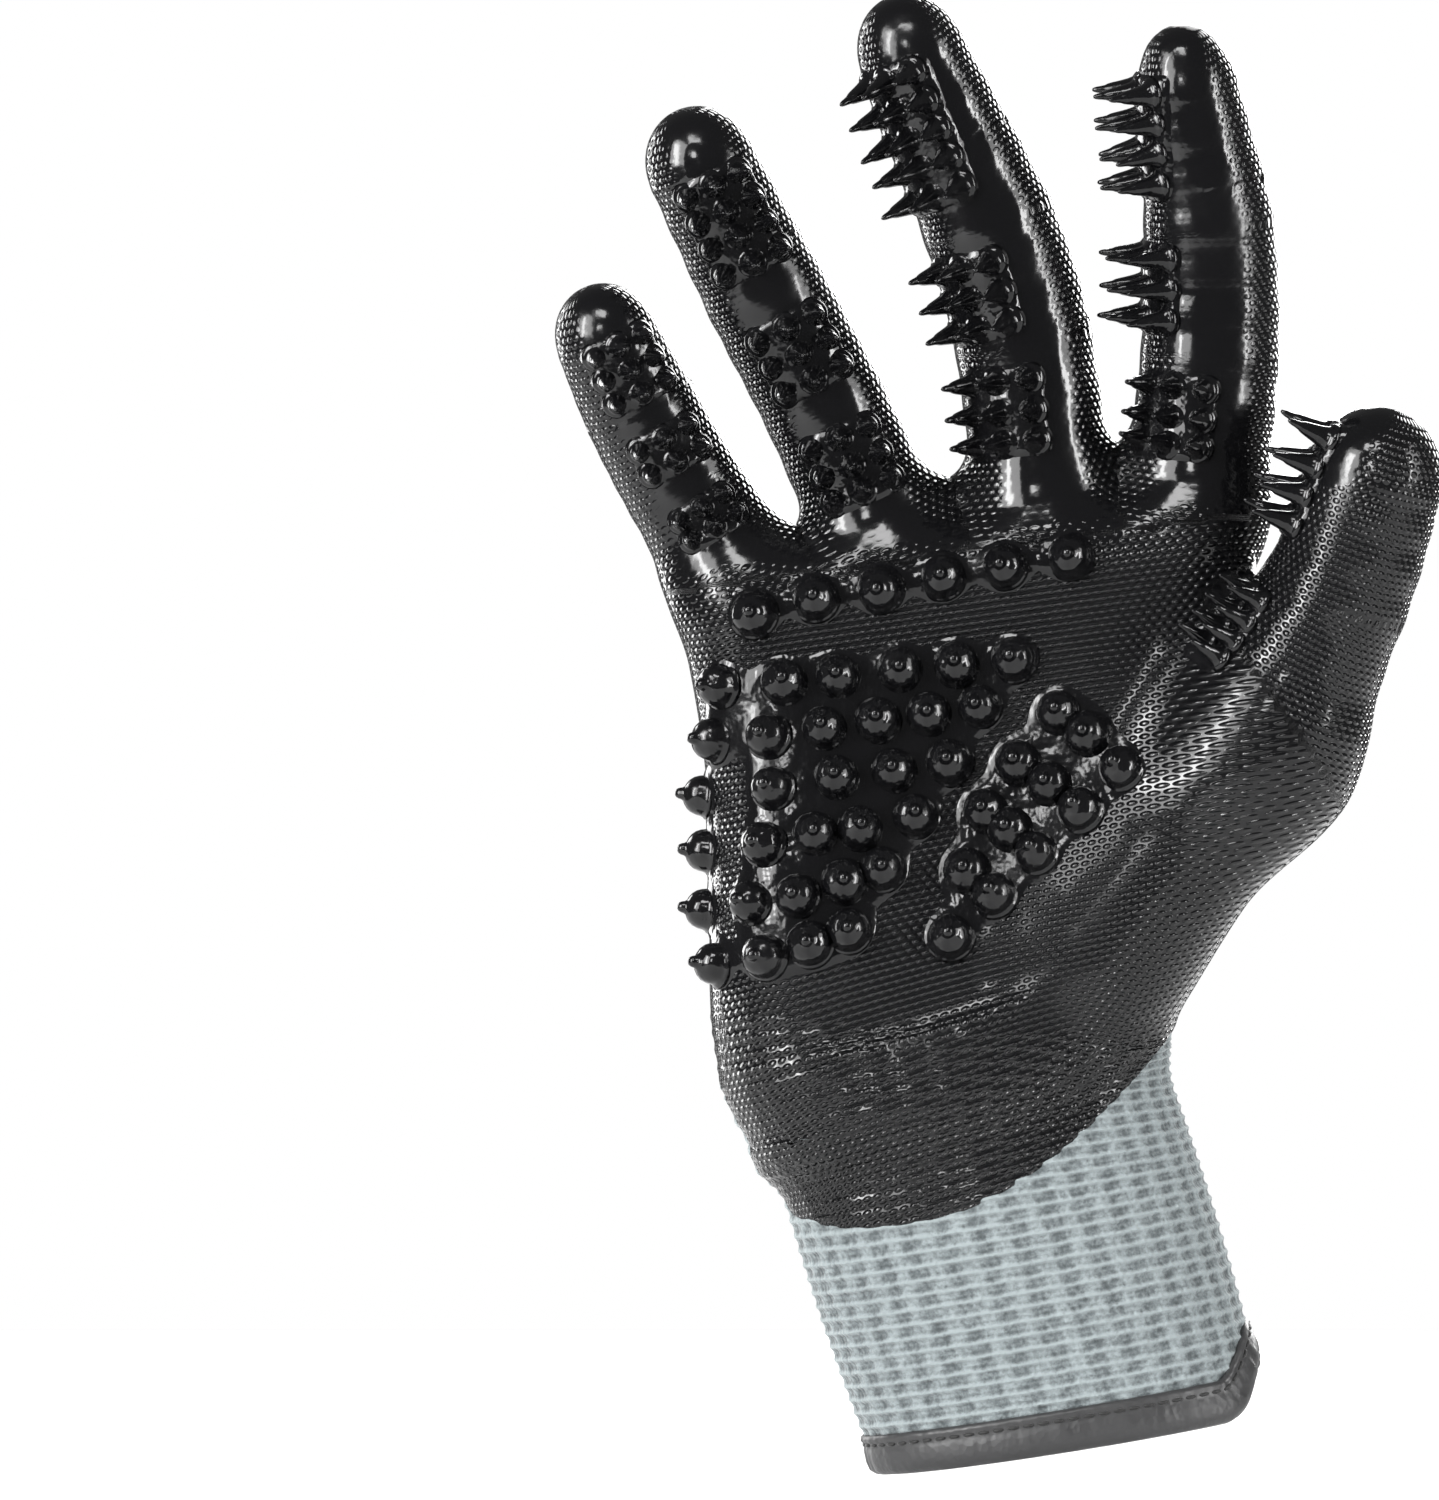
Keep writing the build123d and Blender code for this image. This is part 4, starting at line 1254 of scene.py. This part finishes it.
# The mouth's height at the cuff's middle, and how it changes with x
MOUTH_TILT = (1.4, -0.155)
SLIT_ANGLE = math.radians(30.0)
SLIT_WIDTH = 2.4
SLIT_HEIGHT = 52.0
# How far the slit slants towards the palm below a height, and how high its two feet are: palm side, back
SLIT_SLANT = (math.radians(20.0), 24.0)
SLIT_FEET = (5.4, 1.4)
# Between the mouth's tape and the slit, in radians
FOOT_GAP = 0.065
# How far the mouth's two corners turn up beside the slit: palm side, back
CORNER_RISE = (9.0, 5.0)


def cuff_point(x, y, z):
    """A point given in the cuff's own frame."""
    x, y, z = (np.asarray(value)[..., None] for value in (x, y, z))
    return x * CUFF_ACROSS + y * CUFF_OUT + z * CUFF_UP


def slit_angle(z):
    """Where round the cuff its slit lies, at a height in the cuff's own frame."""
    turn, top = SLIT_SLANT
    return SLIT_ANGLE - turn * np.clip(1 - np.asarray(z) / top, 0, 1) ** 2


def mouth_level(angle):
    """How high the mouth of the cuff is, in the cuff's own frame, at angles that run from the slit once
    round to the slit again. The corners there are rounded up."""
    palm_corner = CORNER_RISE[0] * smoothstep(angle, 2 * np.pi - 0.7, 2 * np.pi)
    back_corner = CORNER_RISE[1] * (1 - smoothstep(angle, 0.2, 0.66))
    level = MOUTH_TILT[0] + MOUTH_TILT[1] * cuff_half_width(0.0) * np.cos(angle)
    return level + palm_corner + back_corner


def rib_surface():
    """The cuff's skin from its mouth to the top of the rib, on a grid of rows and columns."""
    rows, columns = RIB_GRID
    angle = 2 * np.pi * np.arange(columns) / columns
    share = np.linspace(0, 1, rows)
    x0 = cuff_half_width(0.0) * np.cos(angle)
    rise = CUFF_UP[2] + RIB_TOP_SLOPE * CUFF_UP[0]
    top = (RIB_TOP + RIB_SPARE) / rise
    top_slope = -(CUFF_ACROSS[2] + RIB_TOP_SLOPE * CUFF_ACROSS[0]) / rise
    low, low_slope = MOUTH_TILT
    slope = low_slope + (top_slope - low_slope) * smoothstep(share, 0.35, 1.0)
    level = low + share * (top - low)
    angle_grid, z = np.broadcast_arrays(angle[None], level[:, None] + slope[:, None] * x0[None])
    x = cuff_half_width(z) * np.cos(angle_grid)
    y = cuff_half_depth(z) * np.sin(angle_grid)
    points, normals = onto_skin(cuff_point(x, y, z).reshape(-1, 3), rounds=4)
    u = angle_grid / (2 * np.pi) * RIB_COLUMNS
    v = np.broadcast_to(share[:, None] * RIB_ROWS, z.shape)
    per_radian = np.hypot(cuff_half_width(z) * np.sin(angle_grid), cuff_half_depth(z) * np.cos(angle_grid))
    slot_across = (angle_grid - slit_angle(z)) * per_radian
    over = np.maximum(z - SLIT_HEIGHT + SLIT_WIDTH / 2, 0)
    slot = np.hypot(slot_across, over) - SLIT_WIDTH / 2
    shape = (rows, columns, 3)
    above = z - mouth_level(angle_grid + 2 * np.pi * (angle_grid < slit_angle(z)))
    values = {"uv": np.stack([u, v], -1), "slot": slot, "above": above}
    return grid_surface(points.reshape(shape), normals.reshape(shape), True, **values)


def rib_height(surface):
    """The rib's relief: cords that run round, and between them a row of small bumps and pits."""
    return RIB_RISE * rib_relief(surface) * smoothstep(-over_rib_top(surface.points), 0.2, 5.0)


def rib_relief(surface):
    """From 0 in the pits to 1 on the cords."""
    u, v = surface.values["uv"].T
    v = v + 0.05 * np.sin(2 * np.pi * u)
    cord = (0.5 + 0.5 * np.cos(2 * np.pi * v)) ** 2.2
    knot = smoothstep(0.5 + 0.5 * np.cos(2 * np.pi * u), 0.2, 0.8)
    return np.clip(cord * (0.75 + 0.25 * knot) + (1 - cord) * (0.1 + 0.34 * knot), 0, 1)


rib = rib_surface()
rib = rib.clip(-over_rib_top(rib.points))
rib = rib.clip(rib.values["slot"])
rib = rib.clip(rib.values["above"])
rib_mesh = rib.raised(rib_height(rib)).shell_mesh("cuff", LINER_WALL)
store_uv(rib_mesh, np.concatenate([rib.values["uv"]] * 2), RIB_COLUMNS)
# The relief is also read by the rib's material, which darkens the pits with it as painted shade.
store_value(rib_mesh, "relief", rib_relief(rib))
place(add_object(rib_mesh, RIB), "cuff_rib")

# The thin rubber over the top of the rib, which takes on half of the rib's relief
APRON_THICK = 0.28
apron = rib.clip(coat_depth(rib.points, digit_charts(rib.points)))
lip = smoothstep(apron.values["depth"], -0.1, 0.9)
top_share = smoothstep(-over_rib_top(apron.points), 8.0, 0.3)
apron_thickness = APRON_THICK + (COAT_THICK - APRON_THICK) * top_share
apron_rise = rib_height(apron) * 0.5 + COAT_LIFT + apron_thickness * lip
apron_mesh = apron.raised(apron_rise).shell_mesh("rubber_wrist", 0.2)
apron_uv = knit_coordinates(apron.points, digit_charts(apron.points), np.zeros(len(apron.points)))
store_uv(apron_mesh, np.concatenate([apron_uv] * 2))
place(add_object(apron_mesh, COATING), "wrist_coating")

# ---------------------------------------------------------------- tapes

# Sections of the tapes: away from the cloth's edge over the cloth, and out of the cloth
MOUTH_PROFILE = ((5.6, 0.5), (5.4, 1.1), (4.7, 1.4), (3.9, 1.0), (3.1, 1.4), (0.9, 1.6), (-0.5, 1.45),
                 (-1.4, 0.7), (-1.7, -0.4), (-1.4, -1.5), (-0.6, -2.1), (0.8, -2.3), (4.6, -2.2),
                 (5.1, -1.7), (5.0, -0.6))
EDGE_PROFILE = ((4.6, 0.5), (4.4, 1.2), (3.2, 1.5), (1.8, 1.45), (0.6, 1.6), (-0.4, 1.25), (-0.75, 0.4),
                (-0.75, -0.8), (-0.4, -1.7), (0.6, -2.1), (2.4, -2.2), (4.2, -2.1), (4.6, -1.6), (4.5, -0.6))
# The first of the edge profile's points that lie inside the cuff
INNER_SIDE = 8
STITCH_PITCH = 2.6
STITCH_LENGTH, STITCH_WIDTH = 2.0, 0.7


def gathers(path, seed, amount, profile):
    """How a gathered tape swells along its path: folds across it, stronger at the profile's start."""
    length = run_along(path)
    draw = np.random.default_rng(seed)
    wave = sum(np.sin(2 * np.pi * length / period + draw.uniform(0, 6.3)) for period in (2.3, 3.1, 4.4))
    wave = np.tanh(wave) * amount
    return 1 + wave[:, None] * np.linspace(1, 0.6, len(profile))[None]


def run_along(path):
    """How far along a path each of its points lies."""
    return np.concatenate([[0], np.cumsum(np.linalg.norm(np.diff(path, axis=0), axis=1))])


def mouth_frames():
    """The path of the mouth's edge from the slit round to the slit: angles, points, up and out."""
    start = slit_angle(SLIT_FEET[1]) + FOOT_GAP
    end = slit_angle(SLIT_FEET[0]) + 2 * np.pi - FOOT_GAP
    angle = np.linspace(start, end, 420)
    level = mouth_level(angle)
    a, b = cuff_half_width(level), cuff_half_depth(level)
    path = cuff_point(a * np.cos(angle), b * np.sin(angle), level)
    out = cuff_point(np.cos(angle) / a, np.sin(angle) / b, 0 * angle)
    out /= np.linalg.norm(out, axis=1)[:, None]
    up = np.cross(out, np.gradient(path, axis=0))
    up *= np.sign(up @ CUFF_UP)[:, None]
    return angle, path, up / np.linalg.norm(up, axis=1)[:, None], out


angle, mouth_path, mouth_up, mouth_out = mouth_frames()
back_share = smoothstep(np.sin(angle), -0.5, 0.4)
swell = 1 + (gathers(mouth_path, 3, 0.17, MOUTH_PROFILE) - 1) * (0.15 + 0.85 * back_share)[:, None]
mouth = sweep_mesh("mouth_binding", mouth_path, mouth_up, mouth_out, MOUTH_PROFILE, swell)
place(add_object(mouth, TAPE), "cuff_mouth_binding")


def slit_frames():
    """The path of the slit's edge: up one side, round its top and down the other."""
    half = SLIT_WIDTH / 2
    top = SLIT_HEIGHT - half
    steps = [(-half, z) for z in np.arange(SLIT_FEET[0] - 1.0, top, 0.35)]
    steps += [(-half * math.cos(t), top + half * math.sin(t)) for t in np.linspace(0, math.pi, 16)]
    steps += [(half, z) for z in np.arange(top, SLIT_FEET[1] - 1.0, -0.35)]
    across, z = np.array(steps).T
    slope = np.hypot(cuff_half_width(z) * math.sin(SLIT_ANGLE), cuff_half_depth(z) * math.cos(SLIT_ANGLE))
    angle = slit_angle(z) + across / slope
    x, y = cuff_half_width(z) * np.cos(angle), cuff_half_depth(z) * np.sin(angle)
    path, out = onto_skin(cuff_point(x, y, z))
    along = np.gradient(path, axis=0)
    along /= np.linalg.norm(along, axis=1)[:, None]
    aside = np.cross(out, along)
    if (path[10] - path.mean(0)) @ aside[10] < 0:
        aside = -aside
    return path, aside, out, z


path, aside, out, z = slit_frames()
swell = gathers(path, 8, 0.2, EDGE_PROFILE) * (1 + 0.8 * smoothstep(z, 40, 51))[:, None]
swell[:, INNER_SIDE:] = np.clip(swell[:, INNER_SIDE:], 0.8, 1.1)
slit = sweep_mesh("edge_binding", path, aside, out, EDGE_PROFILE, swell)
place(add_object(slit, TAPE), "slit_binding")


def run_of_stitches(path, aside, out, offset, rise):
    """Where a row of stitches sits on a swept tape: places, directions along the row and normals."""
    line = path + aside * offset + out * rise
    run = run_along(line)
    spots = np.arange(STITCH_PITCH, run[-1] - STITCH_PITCH, STITCH_PITCH)

    def at(distances, values):
        return np.column_stack([np.interp(distances, run, values[:, i]) for i in range(3)])

    places = at(spots, line)
    return places, at(spots + 0.5, line) - places, at(spots, out)


rows = [
    run_of_stitches(mouth_path, mouth_up, mouth_out, 3.9, 1.1),
    run_of_stitches(path[8:-8], aside[8:-8], out[8:-8], 3.4, 1.5),
]
places, ahead, normal = (np.concatenate(column) for column in zip(*rows))
stitches = stitch_mesh("tape_stitches", places, ahead, normal, STITCH_LENGTH, STITCH_WIDTH)
place(add_object(stitches, THREAD), "binding_stitches")

# ---------------------------------------------------------------- the closing strap

STRAP_LEFT, STRAP_RIGHT = -30.0, 27.5
STRAP_BOTTOM, STRAP_TOP = 20.0, 48.0
STRAP_CORNER = 12.0
STRAP_INNER, STRAP_OUTER = 2.3, 4.05
STRAP_BEVEL, STRAP_GROOVE = 0.9, 0.22
# The elliptical tube that the strap lies on, at the mouth and at the cuff's top: half width, half depth
STRAP_SEAT = ((33.0, 34.5), (20.5, 19.5))


def strap_surface(offset, left, right, bottom, top, step=0.6):
    """A panel over the back of the cuff at a height above it, on a grid of x and height."""
    x = np.linspace(left, right, int((right - left) / step))
    z = np.linspace(bottom, top, int((top - bottom) / step))
    x, z = np.meshgrid(x, z)
    a, b = (low + (high - low) * z / CUFF_HEIGHT + offset for low, high in STRAP_SEAT)
    y = b * np.sqrt(1 - (x / a) ** 2)
    normal = cuff_point(x / a**2, y / b**2, 0 * z)
    normal /= np.linalg.norm(normal, axis=2)[:, :, None]
    return grid_surface(cuff_point(x, y, z), normal, False, flat=np.stack([x, z], -1))


def rounded_panel(x, z, left, right, bottom, top, corner):
    """How far inside a panel with its left corners rounded each point lies."""
    half_z = (top - bottom) / 2
    from_middle = np.abs(z - (bottom + top) / 2)
    qx, qz = (left + corner) - x, from_middle - (half_z - corner)
    round_end = corner - np.hypot(np.maximum(qx, 0), np.maximum(qz, 0))
    plain = np.minimum(half_z - from_middle, right - x)
    return np.where((qx > 0) & (qz > 0), round_end, np.minimum(plain, x - left))


def strap_mesh():
    """The strap's panel, with a bevelled rim, a raised border and the seam's groove inside it."""
    spare = 0.5
    box = (STRAP_LEFT, STRAP_RIGHT, STRAP_BOTTOM, STRAP_TOP)
    left, right, bottom, top = box
    surface = strap_surface(STRAP_INNER, left - spare, right + spare, bottom - spare, top + spare)
    x, z = surface.values["flat"].T
    panel = surface.clip(rounded_panel(x, z, *box, STRAP_CORNER))
    depth = panel.values["depth"]
    bevel = np.sqrt(np.clip(1 - (1 - np.clip(depth / STRAP_BEVEL, 0, 1)) ** 2, 0.05, 1))
    groove = np.exp(-(((depth - 3.3) / 0.45) ** 2))
    border = 0.8 * np.exp(-(((depth - 1.7) / 0.9) ** 2))
    rise = (STRAP_OUTER - STRAP_INNER) * bevel - STRAP_GROOVE * (groove - border)
    mesh = panel.raised(rise).shell_mesh("strap_band", 0.0)
    store_uv(mesh, np.concatenate([panel.values["flat"]] * 2))
    return mesh


band = add_object(strap_mesh(), strap_material())
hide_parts("strap")
along_strap = unit(np.cross(JOINTS["strap_open"]["axis"], cuff_point(0.0, 1.0, 0.0)))
along_strap *= -np.sign(along_strap[0])
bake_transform(band)
marks = mark_material()
for node, material, slot_name in (
    ("hook_patch", pile_material("hook_tape", 1500.0, 0.3), "hook_and_loop"),
    ("loop_patch", pile_material("loop_tape", 900.0, 0.25), "hook_and_loop"),
    ("strap_paw_mark", marks, "raised_marks"),
    ("strap_grip_bars", marks, "raised_marks"),
    ("strap_stitches", THREAD, "thread"),
):
    obj = frame["nodes"][node]
    obj.data.materials.clear()
    obj.data.materials.append(material)

# ---------------------------------------------------------------- floor, light and camera

GLOVE_MIDDLE = (-5, 0, 115)
# In metres
FLOOR_LEVEL, FLOOR_HALF = -0.0125, 0.5
CAMERA_PLACE = (-0.0604, -1.6, 0.1173)
# How bright the surroundings are for the glove's own light, and as seen by the camera
WORLD_GLOW, WORLD_SEEN = 0.13, 1.0


def area_light(name, place_mm, size_mm, power):
    """A rectangular softbox that faces the middle of the glove."""
    light = bpy.data.lights.new(name, "AREA")
    light.shape = "RECTANGLE"
    light.size, light.size_y = size_mm[0] * MM, size_mm[1] * MM
    light.energy = power
    obj = bpy.data.objects.new(name, light)
    bpy.context.scene.collection.objects.link(obj)
    place_m, target = np.array(place_mm) * MM, np.array(GLOVE_MIDDLE) * MM
    obj.location = place_m
    obj.rotation_euler = Vector(target - place_m).to_track_quat("-Z", "Y").to_euler()


floor = bpy.data.meshes.new("floor")
corners = ((-1, -1), (1, -1), (1, 1), (-1, 1))
floor.from_pydata([(x * FLOOR_HALF, y * FLOOR_HALF, FLOOR_LEVEL) for x, y in corners], [], [(0, 1, 2, 3)])
floor.materials.append(Nodes("pale_floor", (0.86, 0.86, 0.86), 0.7).material)
floor_object = bpy.data.objects.new("floor", floor)
bpy.context.scene.collection.objects.link(floor_object)

world = bpy.data.worlds.new("studio")
bpy.context.scene.world = world
world.use_nodes = True
background = world.node_tree.nodes["Background"]
background.inputs["Color"].default_value = (1.0, 1.0, 1.0, 1.0)
seen = world.node_tree.nodes.new("ShaderNodeLightPath")
strength = world.node_tree.nodes.new("ShaderNodeMapRange")
strength.inputs["To Min"].default_value = WORLD_GLOW
strength.inputs["To Max"].default_value = WORLD_SEEN
world.node_tree.links.new(seen.outputs["Is Camera Ray"], strength.inputs["Value"])
world.node_tree.links.new(strength.outputs[0], background.inputs["Strength"])

for name, place_mm, size_mm, power in (
    ("key", (-820, -640, 420), (130, 620), 5.0),
    ("key_box", (-900, -760, 480), (620, 900), 14.0),
    ("fill", (860, -560, 260), (100, 620), 3.6),
    ("fill_box", (1050, -520, 420), (420, 900), 6.0),
    ("front", (-420, -1500, 560), (250, 220), 2.9),
    ("front_box", (-260, -900, 1050), (520, 240), 5.5),
    ("back", (350, 950, 500), (700, 700), 16.0),
    ("back_side", (-750, 800, 300), (400, 700), 7.0),
):
    area_light(name, place_mm, size_mm, power)

camera_data = bpy.data.cameras.new("camera")
camera_data.lens = 225.9
camera_data.sensor_width = 36.0
camera_data.clip_end = 20.0
camera = bpy.data.objects.new("camera", camera_data)
bpy.context.scene.collection.objects.link(camera)
camera.location = CAMERA_PLACE
camera.rotation_euler = (math.pi / 2, 0, 0)
bpy.context.scene.camera = camera
bpy.context.scene.view_settings.view_transform = "Standard"
